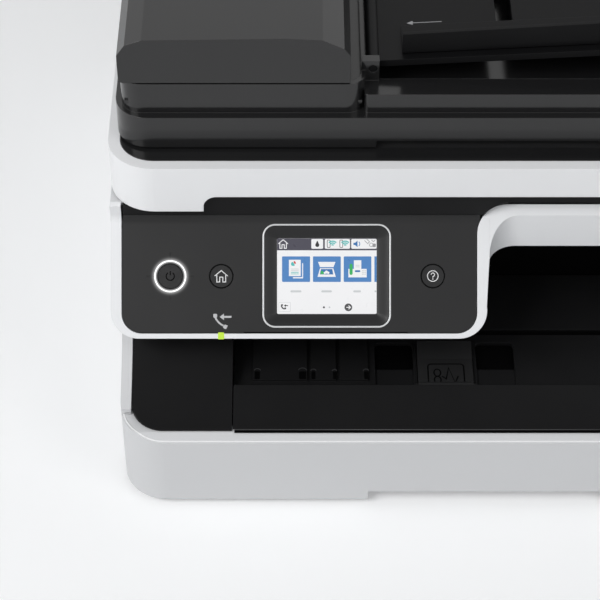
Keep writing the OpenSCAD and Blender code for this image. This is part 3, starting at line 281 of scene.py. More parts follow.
# nodes whose finish differs from their slot's
ownFinish = {
    # side covers, cassette, rear panel and duplex cover wear the casing white, greyed to paint the lower
    # body's shade
    "panel_fascia": "panel_black", "panel_housing": "ribbon", "left_side_cover": "casing",
    "right_side_cover": "casing", "cassette_tray": "casing", "rear_panel": "casing",
    "duplex_cover": "casing", "output_tray": "tray_black", "top_frame": "tray_black",
    "tray_stopper": "stop_black",
}
for nodeName, nodeObj in nodes.items():
    nodeObj.data.materials.clear()
    nodeObj.data.materials.append(finishes[ownFinish.get(nodeName, slotOf[nodeName])])
print("finishes on", len(nodes), "nodes")

root = math.sqrt(0.5)
# flat frames to draw on: an origin in millimetres, then unit vectors across, up and out
panelFrame = ((0, -102, 132.2), (1, 0, 0), (0, root, root), (0, -root, root))


def flatFrame(z):
    return ((0, 0, z), (1, 0, 0), (0, 1, 0), (0, 0, 1))


def frontFrame(y):
    return ((0, y, 0), (1, 0, 0), (0, 0, 1), (0, -1, 0))


def rearFrame(y):
    return ((0, y, 0), (-1, 0, 0), (0, 0, 1), (0, 1, 0))


def sideFrame(x, way):
    return ((x, 0, 0), (0, way, 0), (0, 0, 1), (way, 0, 0))


# points of a flat frame in metres: origin + x * across + y * up + n * out
def placed(frameOf, x, y, n):
    origin, across, up, out = (np.array(v, float) for v in frameOf)
    x, y, n = (np.asarray(v, float)[..., None] for v in np.broadcast_arrays(x, y, n))
    return (origin + x * across + y * up + n * out) * mm


# a mesh with its place in its points, that rides on a body and shows as a slot
def addPiece(name, points, faces, finish, body, smooth=True):
    mesh = bpy.data.meshes.new(name)
    points = np.asarray(points, float).reshape(-1, 3)
    mesh.from_pydata(points.tolist(), [], [list(map(int, f)) for f in faces])
    mesh.polygons.foreach_set("use_smooth", np.full(len(mesh.polygons), smooth))
    mesh.update()
    obj = addObject(name, mesh)
    mesh.materials.append(finish)
    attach(obj, body)


# quads of a grid of rows x cols points; a closed direction joins its last line to its first
def gridFaces(rows, cols, closeRows=False, closeCols=False):
    i, j = np.meshgrid(np.arange(rows if closeRows else rows - 1),
                       np.arange(cols if closeCols else cols - 1), indexing="ij")
    i, j = i.ravel(), j.ravel()
    k, l = (i + 1) % rows, (j + 1) % cols
    return np.stack([i * cols + j, k * cols + j, k * cols + l, i * cols + l], -1)


# anticlockwise rounded rectangle and its outward unit normals; steps points on each corner
def roundRect(x0, x1, y0, y1, r, steps=8):
    a = np.linspace(0, math.pi / 2, steps)
    turn = np.concatenate([a, a + math.pi / 2, a + math.pi, a + 1.5 * math.pi])
    cx = np.repeat([x1 - r, x0 + r, x0 + r, x1 - r], steps)
    cy = np.repeat([y1 - r, y1 - r, y0 + r, y0 + r], steps)
    normal = np.stack([np.cos(turn), np.sin(turn)], -1)
    return np.stack([cx, cy], -1) + r * normal, normal


# points on a circle from start to end, in degrees
def arcPoints(cx, cy, r, start, end, steps=24):
    a = np.radians(np.linspace(start, end, steps))
    return np.stack([cx + r * np.cos(a), cy + r * np.sin(a)], -1)


# a flat-topped prism: the outline at two heights, a face on each and a wall round it
def plateShape(outline, low, high):
    p = np.asarray(outline, float)
    area = np.sum(p[:, 0] * np.roll(p[:, 1], -1) - p[:, 1] * np.roll(p[:, 0], -1))
    p = p if area > 0 else p[::-1]
    n = len(p)
    xyz = np.concatenate([np.column_stack([p, np.full(n, low)]), np.column_stack([p, np.full(n, high)])])
    k = np.arange(n)
    walls = np.stack([k, (k + 1) % n, (k + 1) % n + n, k + n], -1).tolist()
    return xyz, [list(range(n, 2 * n)), list(range(n - 1, -1, -1))] + walls


# left and right edges of a line of the given width along a path, mitred at its corners
def strokeOutline(path, width, closed=False):
    p = np.asarray(path, float)
    if closed:
        before, after = np.roll(p, 1, 0), np.roll(p, -1, 0)
    else:
        before = np.vstack([2 * p[0] - p[1], p[:-1]])
        after = np.vstack([p[1:], 2 * p[-1] - p[-2]])
    a, b = p - before, after - p
    a /= np.linalg.norm(a, axis=1, keepdims=True)
    b /= np.linalg.norm(b, axis=1, keepdims=True)
    m = np.column_stack([-(a + b)[:, 1], (a + b)[:, 0]])
    m /= np.linalg.norm(m, axis=1, keepdims=True)
    square = np.clip(np.abs(np.sum(m * np.column_stack([-a[:, 1], a[:, 0]]), 1)), 0.5, 1)
    off = m * (width / 2 / square)[:, None]
    return p + off, p - off


# a raised line: the two edges of the stroke at two heights, joined round
def strokeShape(path, width, low, high, closed=False):
    left, right = strokeOutline(path, width, closed)
    n = len(left)
    rings = [(left, low), (left, high), (right, high), (right, low)]
    xyz = np.stack([np.column_stack([e, np.full(n, h)]) for e, h in rings], 1).reshape(-1, 3)
    faces = gridFaces(n, 4, closed, True)[:, ::-1].tolist()
    if not closed:
        faces += [[3, 2, 1, 0], [4 * n - 4, 4 * n - 3, 4 * n - 2, 4 * n - 1]]
    return xyz, faces


# several shapes as one: each one's faces count on from the points before it
def joinShapes(shapes):
    points, faces, start = [], [], 0
    for xyz, f in shapes:
        points.append(np.asarray(xyz, float))
        faces += [[v + start for v in face] for face in f]
        start += len(xyz)
    return np.concatenate(points), faces


# flat shapes (x, y, height) joined as one piece in a flat frame
def drawn(name, frameOf, shapes, finish, body, smooth=False):
    xyz, faces = joinShapes(shapes)
    addPiece(name, placed(frameOf, xyz[:, 0], xyz[:, 1], xyz[:, 2]), faces, finish, body, smooth)


# a profile (outward offset, height) carried round a closed path in a flat frame
def rimPiece(name, frameOf, path, normal, profile, finish, body):
    profile = np.asarray(profile, float)
    xy = path[:, None, :] + normal[:, None, :] * profile[None, :, :1]
    high = np.broadcast_to(profile[None, :, 1], xy.shape[:2])
    points = placed(frameOf, xy[..., 0], xy[..., 1], high)
    addPiece(name, points, gridFaces(len(path), len(profile), True), finish, body)


# corner points of a rectangle, then points round a full circle and round a rounded rectangle
def box(x0, x1, y0, y1):
    return np.array([(x0, y0), (x1, y0), (x1, y1), (x0, y1)], float)


def disc(cx, cy, r, steps=24):
    return arcPoints(cx, cy, r, 0, 360 - 360 / steps, steps)


def softBox(x0, x1, y0, y1, r, steps=5):
    return roundRect(x0, x1, y0, y1, r, steps)[0]


# a lit colour: half of it is paint and the rest its own light
def glowing(name, colour, strength, rough=0.3, spread=0.02):
    f = newFinish(name, np.array(colour) * 0.5, rough, 0)
    addTint(f, 40, spread)
    feed(f["tree"], f["skin"], {"Emission Color": (*colour, 1), "Emission Strength": strength})
    addGloss(f, 300, rough * 0.9, rough * 1.1)
    return f["mat"]


# matt printed colour without rounded corners
def paint(name, colour):
    return moulded(name, colour, 0.45, 0.03, 90, (1500, 6e-6, 0.2), 500, 0)


screenFrame = {
    "x": (-113.0, -50.0), "y": (-53.3, -2.4), "corner": 6.2,
    "line": 0.85, "proud": 0.26,
    "display": (-105.9, -56.9, -46.6, -9.4),  # left, right, bottom and top of the lit area
    "depth": 3.25,
}


# bright bead round the screen and the dark surround inside it; the surround is a blend of two
# outlines, outer * (1 - t) + inner * t, whose depth grows as t * 3/4 plus a smooth step * 1/4
def makeScreenFrame():
    s = screenFrame
    silver = moulded("screenSilver", (0.66, 0.665, 0.67), 0.34, 0.01, 60, (900, 2e-6, 0.1), 60, 0,
                     Metallic=0.2)
    path, normal = roundRect(*s["x"], *s["y"], s["corner"], 16)
    t = np.linspace(0, math.pi, 9)  # half-round bead standing on a short skirt
    bead = np.column_stack([-s["line"] / 2 + s["line"] / 2 * np.cos(t), s["proud"] * np.sin(t)])
    bead = np.vstack([[0, -0.5], bead, [-s["line"], -0.5]])
    rimPiece("screen_frame", panelFrame, path, normal, bead, silver, "panel")
    inset = s["line"] - 0.05
    outer, _ = roundRect(s["x"][0] + inset, s["x"][1] - inset, s["y"][0] + inset, s["y"][1] - inset,
                         s["corner"] - inset, 16)
    left, right, low, high = s["display"]
    inner, _ = roundRect(left, right, low, high, 0.7, 16)
    t = np.linspace(0, 1, 12)
    blend = t[None, :, None]
    xy = outer[:, None, :] * (1 - blend) + inner[:, None, :] * blend
    drop = -0.08 - (s["depth"] - 0.08) * (0.75 * t + 0.25 * t * t * (3 - 2 * t))
    points = placed(panelFrame, xy[..., 0], xy[..., 1], drop[None, :])
    addPiece("screen_surround", points, gridFaces(len(outer), len(t), True), finishes["panel_black"],
             "panel")


menu = {
    "lit": 0.5,
    "base": -3.39, "layer": 0.02, "thick": 0.015,  # lowest layer's height, the step to the next, thickness
    "tones": {
        "white": (0.9, 0.9, 0.91), "header": (0.052, 0.049, 0.072), "blue": (0.07, 0.222, 0.52),
        "ink": (0.012, 0.012, 0.014), "teal": (0.08, 0.5, 0.48), "navy": (0.03, 0.16, 0.42),
        "green": (0.03, 0.42, 0.1), "red": (0.62, 0.07, 0.06), "grey": (0.3, 0.3, 0.31),
        "mist": (0.6, 0.62, 0.63), "button": (0.062, 0.062, 0.066),
    },
    # left and right of the header's fields, the tiles and the bars that stand for captions
    "fields": ((16.87, 22.67), (23.5, 35.9), (36.5, 48.95)),
    "tiles": ((2.47, 16.25), (17.68, 31.37), (32.8, 46.4)), "nextTile": (47.9, 48.98),
    "captions": ((6.6, 12.0), (21.8, 27.0), (37.5, 41.3), (47.9, 48.95)),
    "fieldY": (32.06, 36.86), "tileY": (15.74, 28.32), "captionY": (10.6, 11.6),
}


# points given from the display's lower left corner, moved onto the panel, with their layer's foot
# and head: the head lies at base + level * layer and the foot its thickness below
def menuPlace(outline, level):
    corner = (screenFrame["display"][0], screenFrame["display"][2])
    top = menu["base"] + level * menu["layer"]
    return np.asarray(outline, float) + corner, top - menu["thick"], top


# telephone handset as a thick arc with a pad at each end
def handsetPath(cx, cy, size):
    arc = arcPoints(cx + size * 0.42, cy + size * 0.42, size * 0.78, 186, 264, 12)
    pads = []
    for end, turn in ((arc[0], 100), (arc[-1], -10)):
        a = math.radians(turn)
        d = np.array([math.cos(a), math.sin(a)]) * size * 0.17
        w = np.array([-d[1], d[0]]) * 1.15
        c = end + np.array([0.12, 0.12]) * size
        pads.append(np.array([c - d - w, c + d - w, c + d + w, c - d + w]))
    return arc, pads


# a house as two open paths: the roof line, and the walls with the doorway between them
def housePaths(cx, cy, w, h):
    roof = [(cx - w / 2, cy + h * 0.02), (cx, cy + h / 2), (cx + w / 2, cy + h * 0.02)]
    walls = [(cx - w * 0.34, cy + h * 0.1), (cx - w * 0.34, cy - h / 2), (cx - w * 0.12, cy - h / 2),
             (cx - w * 0.12, cy - h * 0.08), (cx + w * 0.12, cy - h * 0.08), (cx + w * 0.12, cy - h / 2),
             (cx + w * 0.34, cy - h / 2), (cx + w * 0.34, cy + h * 0.1)]
    return roof, walls


# the menu on the display: flat shapes and lines in a few tones, each level a layer above the last
def makeMenu():
    shapes = {tone: [] for tone in menu["tones"]}

    def flat(tone, level, *outlines):
        shapes[tone] += [plateShape(*menuPlace(outline, level)) for outline in outlines]

    def line(tone, level, width, *paths, closed=False):
        for path in paths:
            points, low, high = menuPlace(path, level)
            shapes[tone].append(strokeShape(points, width, low, high, closed))

    flat("white", 0, softBox(0, 49, 0, 37.2, 0.7))
    flat("header", 1, box(0.05, 48.95, 31.3, 37.15))
    flat("white", 2, *[softBox(a, b, *menu["fieldY"], 0.6) for a, b in menu["fields"]])
    line("white", 2, 0.4, *housePaths(3.0, 34.4, 4.7, 4.2))
    # ink drop: a circle drawn out to a point above it
    flat("ink", 3, np.vstack([arcPoints(19.8, 33.9, 0.98, 150, 390, 14), [(19.8, 36.1)]]))
    for x in (26.6, 32.8):  # radio links: a small device and its waves
        line("ink", 3, 0.28, softBox(x - 1.9, x - 0.5, 32.7, 36.3, 0.3, 3), closed=True)
        line("teal", 3.5, 0.62, *[arcPoints(x + 0.7, 33.2, r, 45, 135, 8) for r in (0.8, 1.7, 2.6)])
    # loudspeaker, and a small tool and key beside it
    flat("navy", 3, [(37.6, 33.9), (38.4, 33.9), (39.6, 32.8), (39.6, 36.1), (38.4, 35.0), (37.6, 35.0)])
    line("blue", 3, 0.42, arcPoints(39.5, 34.45, 1.2, -55, 55, 8))
    line("grey", 3, 0.32, [(43.0, 36.1), (44.6, 34.6), (45.5, 35.5), (44.0, 36.9)])
    line("grey", 3, 0.3, disc(46.3, 34.0, 0.9, 12), closed=True)
    line("grey", 3, 0.32, [(46.4, 36.4), (47.4, 35.6), (48.4, 36.4)])
    flat("grey", 3, softBox(47.0, 48.6, 32.9, 34.6, 0.3, 3))
    flat("blue", 1, *[softBox(a, b, *menu["tileY"], 0.4) for a, b in menu["tiles"]],
         box(*menu["nextTile"], *menu["tileY"]))
    # copies: a page with a chart and lines, and the corner of a second page behind it
    flat("white", 2, box(5.85, 11.65, 18.62, 26.64), box(12.36, 12.83, 17.5, 24.96),
         box(7.84, 12.83, 17.5, 18.1))
    flat("teal", 3, arcPoints(7.9, 24.6, 1.05, 100, 330, 14))
    flat("red", 3, np.vstack([arcPoints(8.2, 25.0, 1.05, -30, 90, 8), [(8.2, 25.0)]]))
    for v in (21.9, 21.1, 20.3, 19.5):
        flat("mist" if v > 20.5 else "teal", 3, box(6.8, 10.7, v, v + 0.35))
    # scanner: an open lid above a glass with a drawing on it
    flat("white", 2, [(21.15, 23.04), (27.8, 23.04), (28.75, 25.6), (20.2, 25.6)],
         [(19.96, 18.24), (28.9, 18.24), (27.66, 22.46), (21.15, 22.46)])
    flat("navy", 3, [(21.0, 19.43), (27.66, 19.43), (27.2, 22.07), (21.6, 22.07)])
    flat("green", 4, [(21.2, 19.6), (23.2, 19.6), (22.6, 21.2), (21.7, 21.2)])
    flat("white", 5, *[disc(*c, 14) for c in ((23.5, 20.2, 0.55), (24.3, 20.6, 0.75), (25.2, 20.25, 0.6))])
    # fax: a handset, a sheet of paper, a display and keys
    flat("white", 2, box(35.1, 44.1, 18.0, 22.17), box(37.8, 41.45, 22.0, 26.4))
    flat("green", 4, softBox(35.65, 37.17, 19.2, 24.7, 0.7))
    flat("navy", 3, softBox(38.26, 40.97, 20.6, 21.5, 0.45))
    flat("mist", 3, *[box(u, u + 0.45, v, v + 0.5) for u in (41.8, 42.5, 43.2) for v in (19.3, 20.15, 21.0)],
         *[box(38.6, 40.6, v, v + 0.3) for v in (23.0, 23.8)])
    flat("mist", 1, *[softBox(a, b, *menu["captionY"], 0.45, 4) for a, b in menu["captions"]])
    line("mist", 1, 0.16, softBox(0.9, 6.6, 1.2, 5.7, 0.3, 3), closed=True)
    arc, pads = handsetPath(3.0, 3.3, 2.3)
    line("ink", 2, 0.62, arc)
    flat("ink", 2.2, *pads)
    line("ink", 2, 0.45, [(5.4, 4.1), (3.9, 4.1)])
    flat("ink", 2.4, [(4.3, 3.4), (4.3, 4.8), (3.4, 4.1)])
    # page dots and the round button with an arrow
    flat("ink", 1, disc(23.05, 3.25, 0.5, 14))
    flat("mist", 1, disc(25.8, 3.25, 0.45, 14))
    flat("button", 1, disc(35.07, 3.25, 1.9, 28))
    line("white", 2, 0.42, [(34.1, 3.25), (35.7, 3.25)])
    line("white", 2.4, 0.42, [(35.2, 4.15), (36.1, 3.25), (35.2, 2.35)])
    for tone, group in shapes.items():
        finish = glowing("menu" + tone.title(), menu["tones"][tone], menu["lit"])
        drawn("menu_" + tone, panelFrame, group, finish, "panel")


keys = {
    "power": (-158.2, -28.1), "home": (-133.2, -28.1), "help": (-29.5, -28.0),  # their centres
    "ringRadius": 7.5, "ringLine": 0.75, "ringLight": 0.92,
    "haloWidth": 1.15, "haloLight": 0.36,  # how far the light spreads, and its strength
    "halo": (4.2, -1.0, 0.03),  # outer and inner edge of the lit band from the ring, and its height
    "sink": -0.05, "height": 0.06, "line": 0.45,  # signs: foot, head and line width
    "powerSign": (2.0, 0.52), "homeSign": (6.4, 5.6), "helpSign": (2.6, 0.4),
}


# the ring's light on the panel falls off as a bell curve: strength * exp(-((distance from the
# key's centre - ring's radius) / width) squared)
def haloFinish(centre):
    f = newFinish("ringHalo", (0.0165, 0.0165, 0.017), 0.34, 0, Specular_IOR_Level=0.24)
    addTint(f, 20, 0.04)
    addGloss(f, 40, 0.323, 0.357)
    tree = f["tree"]
    away = newNode(tree, "VectorMath", {0: f["coords"], 1: tuple(centre)}, operation="DISTANCE")
    steps = [("SUBTRACT", keys["ringRadius"] * mm), ("ABSOLUTE", 0.0), ("DIVIDE", keys["haloWidth"] * mm),
             ("POWER", 2.0), ("MULTIPLY", -1.0), ("EXPONENT", 0.0), ("MULTIPLY", keys["haloLight"])]
    last = away.outputs["Value"]
    for operation, value in steps:
        last = newNode(tree, "Math", {0: last, 1: value}, operation=operation).outputs[0]
    feed(tree, f["skin"], {"Emission Color": (1, 1, 1, 1), "Emission Strength": last})
    return f["mat"]


# lit ring and halo round the power key, and the raised signs of the three keys
def makeKeys():
    k = keys
    low, high, w = k["sink"], k["height"], k["line"]
    white = paint("iconWhite", (0.78, 0.78, 0.78))
    x, y = k["power"]
    r = k["ringRadius"]
    path, normal = roundRect(x - r, x + r, y - r, y + r, r, 20)
    t = np.linspace(0, math.pi, 7)
    bead = np.column_stack([k["ringLine"] / 2 * np.cos(t), 0.02 + 0.14 * np.sin(t)])
    ring = glowing("ringLight", (0.95, 0.95, 0.95), k["ringLight"], 0.4, 0.005)
    rimPiece("power_ring", panelFrame, path, normal, bead, ring, "panel")
    outer, inner, lift = k["halo"]
    band = np.column_stack([np.linspace(outer, inner, 14), np.full(14, lift)])
    glow = haloFinish(placed(panelFrame, x, y, lift))
    rimPiece("power_halo", panelFrame, path, normal, band, glow, "panel")
    r, line = k["powerSign"]
    sign = [strokeShape(arcPoints(x, y, r, 125, 415, 22), line, low, high),
            strokeShape([(x, y + 0.5), (x, y + 2.6)], line, low, high)]
    drawn("power_sign", panelFrame, sign, finishes["deep_black"], "power_key")
    house = [strokeShape(p, w, low, high) for p in housePaths(*k["home"], *k["homeSign"])]
    drawn("home_sign", panelFrame, house, white, "home_key")
    x, y = k["help"]
    r, line = k["helpSign"]
    hook = np.vstack([arcPoints(x, y + 0.65, 0.85, 175, -55, 14), [(x, y - 0.35), (x, y - 0.75)]])
    sign = [strokeShape(disc(x, y, r, 36), line, low, high, True), strokeShape(hook, line, low, high),
            plateShape(disc(x, y - 1.45, 0.3, 12), low, high)]
    drawn("help_sign", panelFrame, sign, white, "help_key")


callSign = {
    "arc": (-128.9, -45.1, 7.9, 191, 246), "line": 0.85,  # centre, radius and the two ends
    "ear": (-137.1, -135.2, -48.5, -46.5),
    "mouth": ((-132.5, -53.0), (-131.4, -51.7), (-130.0, -52.3), (-130.8, -54.0), (-131.6, -53.9)),
    "shaft": ((-128.2, -48.0), (-132.0, -48.0)), "shaftLine": 0.95,
    "head": ((-131.9, -49.6), (-131.9, -46.4), (-134.0, -48.0)),
    "lamp": (-134.8, -131.8, -59.0, -55.6),
}


# incoming call: a handset with its two ends and an arrow pointing at it, and the lamp below
def makeCallSign():
    c = callSign
    low, high = keys["sink"], keys["height"]
    sign = [strokeShape(arcPoints(*c["arc"], 14), c["line"], low, high),
            plateShape(softBox(*c["ear"], 0.6), low, high + 0.01),
            plateShape(c["mouth"], low, high + 0.01),
            strokeShape(c["shaft"], c["shaftLine"], low, high),
            plateShape(c["head"], low, high + 0.01)]
    pale = paint("iconGrey", (0.52, 0.52, 0.53))
    drawn("call_sign", panelFrame, sign, pale, "panel")
    lamp = [plateShape(softBox(*c["lamp"], 0.4), -1, 0.12)]
    drawn("status_light", panelFrame, lamp, glowing("statusLight", (0.5, 0.74, 0.05), 0.62), "chassis")


makeScreenFrame()
makeMenu()
makeKeys()
makeCallSign()
print("control panel dressed")


# a closed outline in (y, z), anticlockwise seen from +x, swept along x with its two ends filled
def solidOf(profile, x0, x1):
    p = np.asarray(profile, float)
    n = len(p)
    points = np.concatenate([np.column_stack([np.full(n, x), p]) for x in (x0, x1)])
    faces = gridFaces(2, n, False, True)[:, ::-1].tolist()
    return points, faces + [list(range(n - 1, -1, -1)), list(range(n, 2 * n))]


def blockOf(x0, x1, y0, y1, z0, z1):
    return solidOf([(y0, z0), (y1, z0), (y1, z1), (y0, z1)], x0, x1)


# shapes given in millimetres, joined as one piece
def plain(name, shapes, finish, body, smooth=False):
    xyz, faces = joinShapes(shapes)
    addPiece(name, xyz * mm, faces, finish, body, smooth)


trays = {
    "pocketX": (-46.7, 4.8), "pocketWidth": 19.4, "pocketY": (-128.8, -111.4), "pocketZ": 52.0,
    "panelTop": 55.4, "notchY": (-137.9, -132.5),
    "notches": ((-117.5, -114.9), (-95.1, -91.5), (-88.8, -86.8), (-77.9, -76.4), (-62.2, -60.2)),
    "notchLip": 0.28,
    "step": (-8.0, 88.0, -104.8, -64.5, 53.8, 57.0),  # block across the tray's floor
    "stepLine": 0.8,  # width of the near-black line before it that paints its shadow
    "bead": (-127.2, 89.9, -167.42, 50.5, 0.28),  # left, right, y, z and radius
    "skirt": (-127.2, 89.9, -168.9, -167.5, 49.75, 50.15),
}


# near-black floors of the finger pockets and flat notches that paint the shade in these hollows, a raised lip
# behind each notch, the step on the tray's floor with a near-black line before it that paints its shadow, and
# the extension's front bead, lighter for a painted highlight, and skirt, a near-black strip that paints the
# shadow in the gap
def makeTrayDetails():
    t = trays
    paintedShadeBlack = finishes["deep_black"]
    # a lighter copy of the tray's black: on the notch lips and the front bead it paints a highlight on top of
    # their real rounding
    edge = moulded("trayEdgePaintedHighlight", (0.05, 0.05, 0.052), 0.35, 0.05, 60, (1500, 1e-5, 0.2), 300, 0,
                   Specular_IOR_Level=0.3)
    half = t["pocketWidth"] / 2 - 0.1
    # the pocket floors are near-black plates that paint the shade in these hollows
    floors = [plateShape(softBox(x - half, x + half, *t["pocketY"], 2.4), -0.04, 0.04) for x in t["pocketX"]]
    drawn("tray_pocket_floors", flatFrame(t["pocketZ"]), floors, paintedShadeBlack, "out_tray")
    y0, y1 = t["notchY"]
    top = flatFrame(t["panelTop"])
    # the notches are flat near-black plates that paint the shade of a notch
    notches = [plateShape(softBox(a, b, y0, y1, 0.5), -0.1, 0.03) for a, b in t["notches"]]
    drawn("tray_notches", top, notches, paintedShadeBlack, "out_tray")
    lips = [strokeShape(arcPoints((a + b) / 2, y1, (b - a) / 2 + 0.5, 20, 160, 10), t["notchLip"], -0.1, 0.22)
            for a, b in t["notches"]]
    drawn("tray_notch_lips", top, lips, edge, "out_tray")
    x0, x1, y, z, r = t["bead"]
    bead = [solidOf(arcPoints(y, z, r, 0, 324, 10), x0, x1)]
    # the bead's lighter black paints the highlight along the extension's front edge
    plain("extension_bead", bead, edge, "extension", True)
    # the skirt is a near-black strip that paints the shadow in the gap below the bead
    plain("extension_skirt", [blockOf(*t["skirt"])], paintedShadeBlack, "extension")
    x0, x1, front, rear, low, high = t["step"]
    plain("tray_step", [blockOf(*t["step"])], finishes["tray_black"], "out_tray")
    # a near-black strip before the step paints its shadow line
    line = [blockOf(x0, x1, front - t["stepLine"], front - 0.05, low, high - 0.2)]
    plain("tray_step_line", line, paintedShadeBlack, "out_tray")


stopperSign = {
    "top": 55.4, "frame": (-29.8, -11.6, -141.2, -127.4), "corner": 1.9, "line": 0.68,
    "ringX": -25.15, "ringY": (-133.4, -138.3), "ring": (1.7, 2.4),  # half width and half length
    "zigzag": ((-22.9, -135.8), (-20.8, -137.7), (-19.3, -130.0), (-16.4, -140.4), (-14.7, -135.8)),
}


# sign on the paper stop: a frame open at the front, a figure of two ellipses and a zigzag
def makeStopperSign():
    s = stopperSign
    x0, x1, front, rear = s["frame"]
    c = s["corner"]
    border = np.vstack([[(x0, front)], arcPoints(x0 + c, rear - c, c, 180, 90, 8),
                        arcPoints(x1 - c, rear - c, c, 90, 0, 8), [(x1, front)]])
    a = np.linspace(0, 2 * math.pi, 22)[:-1]
    rx, ry = s["ring"]
    rings = [np.column_stack([s["ringX"] + rx * np.cos(a), y + ry * np.sin(a)]) for y in s["ringY"]]
    lines = [strokeShape(border, s["line"], -0.1, 0.05)]
    lines += [strokeShape(r, s["line"], -0.1, 0.05, True) for r in rings]
    lines.append(strokeShape(s["zigzag"], s["line"], -0.1, 0.06))
    drawn("stopper_sign", flatFrame(s["top"]), lines, finishes["deep_black"], "stopper")


fasciaLines = {"grip": (-122.1, -41.8), "gripY": -55.88, "gripWidth": 0.45, "groove": 5.6}


# near-black strips in the finger grip under the fascia's lower edge, and in the groove round two of the keys,
# that paint the shade in these gaps
def makeFasciaLines():
    f = fasciaLines
    paintedShadeBlack = finishes["deep_black"]
    # the grip is a flat near-black strip that paints the shade of the recess
    grip = plateShape(box(*f["grip"], f["gripY"], f["gripY"] + f["gripWidth"]), -0.8, 0.03)
    drawn("panel_grip", panelFrame, [grip], paintedShadeBlack, "panel")
    r = f["groove"]
    for key in ("home", "help"):
        x, y = keys[key]
        path, normal = roundRect(x - r, x + r, y - r, y + r, r, 18)
        # the groove is a flat near-black ring that paints the shade in the gap round the key
        groove = np.column_stack([[0.26, -0.22], [0.03, 0.03]])
        rimPiece(key + "_groove", panelFrame, path, normal, groove, paintedShadeBlack, key + "_key")


ledge = {
    "x": 184.3, "front": -173.5, "rear": -140.0, "corner": 22.0,
    "crest": 49.3, "drop": 46.7, "slope": 0.4,  # height behind, height at the front, and its rise
    "radius": 0.42, "inset": 1.15, "sink": 0.12, "sides": 10,
}


# round edge along the cassette's front, in a brighter white than the casing that paints a highlight on it: a
# circle carried along its outline, drawn in by the inset;
# its height is that of the sloped top
def makeLedgeRim():
    g = ledge
    side, front = g["x"] - g["inset"], g["front"] + g["inset"]
    r = g["corner"] - g["inset"]
    path = np.vstack([[(-side, g["rear"])], arcPoints(-side + r, front + r, r, 180, 270, 14),
                      arcPoints(side - r, front + r, r, 270, 360, 14), [(side, g["rear"])]])
    along = np.gradient(path, axis=0)
    out = np.column_stack([along[:, 1], -along[:, 0]]) / np.linalg.norm(along, axis=1)[:, None]
    z = np.minimum(g["crest"], g["drop"] + g["slope"] * (path[:, 1] - g["front"] + 1)) - g["sink"]
    a = np.linspace(0, 2 * math.pi, g["sides"] + 1)[:-1]
    reach = g["radius"] * np.cos(a)
    rings = np.concatenate([path[:, None, :] + out[:, None, :] * reach[None, :, None],
                            (z[:, None] + g["radius"] * np.sin(a)[None, :])[..., None]], -1)
    n, m = len(path), g["sides"]
    ends = [list(range(m)), list(range(n * m - 1, n * m - m - 1, -1))]
    faces = gridFaces(n, m, False, True).tolist() + ends
    # a whiter finish than the casing, painting the highlight along the rounded edge
    paintedHighlight = moulded("ledgeWhitePaintedHighlight", (0.93, 0.935, 0.94), 0.25, 0.006, 12, (900, 2e-6, 0.1), 60, 0,
                    sheen=0.05)
    plain("ledge_rim", [(rings.reshape(-1, 3), faces)], paintedHighlight, "cassette", True)


outlet = {
    "x": (-144.5, 97.0),
    "lower": (-63.7, 55.9, 83.0), "upper": (-63.0, 93.0, 128.5),  # each guard's y, foot and head
    "ribs": 22, "ribHeight": 1.6, "ribWidth": 1.0,
    "wheels": 7, "wheelX": -130.0, "wheelPitch": 35.0, "wheelGap": 2.6, "wheelRadius": 4.2,
    "wheelAt": (-48.0, 91.4),
    "holder": ((-56, 99.4), (-56, 95), (-49.5, 90.4), (-46.5, 90.4), (-46.5, 96), (-52, 99.4)),
}


# guards and ribs in the paper outlet, in a near-black that paints the outlet's shade, and thin toothed wheels
# that hold the sheet down
def makeOutlet():
    o = outlet
    x0, x1 = o["x"]
    paintedShadeBlack = finishes["deep_black"]
    y, low, high = o["lower"]
    guard = [(y, low), (y, high - 3), *arcPoints(y + 3, high - 3, 3, 180, 90, 6).tolist(),
             (y + 3.4, high - 1.2), (y + 1.4, high - 3.4), (y + 1.4, low)]
    y, low, high = o["upper"]
    hood = [(y, high), (y, low + 4), *arcPoints(y + 4, low + 4, 4, 180, 270, 7).tolist(), (y + 7, low),
            (y + 7, low + 1.4), (y + 3.2, low + 1.8), (y + 1.5, low + 4), (y + 1.5, high)]
    # guards and ribs are near-black so that they paint the shade inside the outlet
    guards = [solidOf(guard[::-1], x0, x1), solidOf(hood, x0, x1)]
    plain("outlet_guards", guards, paintedShadeBlack, "chassis")
    rib = [(y - o["ribHeight"], high), (y - o["ribHeight"], low + 5), (y + 0.6, low + 0.8), (y + 0.4, high)]
    half = o["ribWidth"] / 2
    ribs = [solidOf(rib, x - half, x + half) for x in np.linspace(x0 + 6, x1 - 6, o["ribs"])]
    plain("outlet_ribs", ribs, paintedShadeBlack, "chassis")
    a = np.linspace(0, 2 * math.pi, 25)[:-1]
    teeth = o["wheelRadius"] + 0.28 * np.where(np.arange(24) % 2, 1, -1)
    wy, wz = o["wheelAt"]
    rim = np.column_stack([wy + teeth * np.cos(a), wz + teeth * np.sin(a)])
    at = o["wheelX"] + o["wheelPitch"] * np.arange(o["wheels"])
    wheels = [solidOf(rim, x + way * o["wheelGap"] - 0.25, x + way * o["wheelGap"] + 0.25)
              for x in at for way in (-1, 1)]
    plain("star_wheels", wheels, finishes["zinc_steel"], "chassis")
    right = at + o["wheelGap"]
    holders = [solidOf(o["holder"], x - 4.4, x - 0.8) for x in right]
    plain("star_wheel_holders", holders, finishes["dark_grey"], "chassis")


inkTanks = {
    "first": 101.6, "pitch": 20.4, "width": 17.0, "face": -143.2,
    "levels": (65.5, 81.5),  # heights of the two level lines
    "spot": (6.8, 59.1, 61.1),  # width, foot and head of the colour spot
}


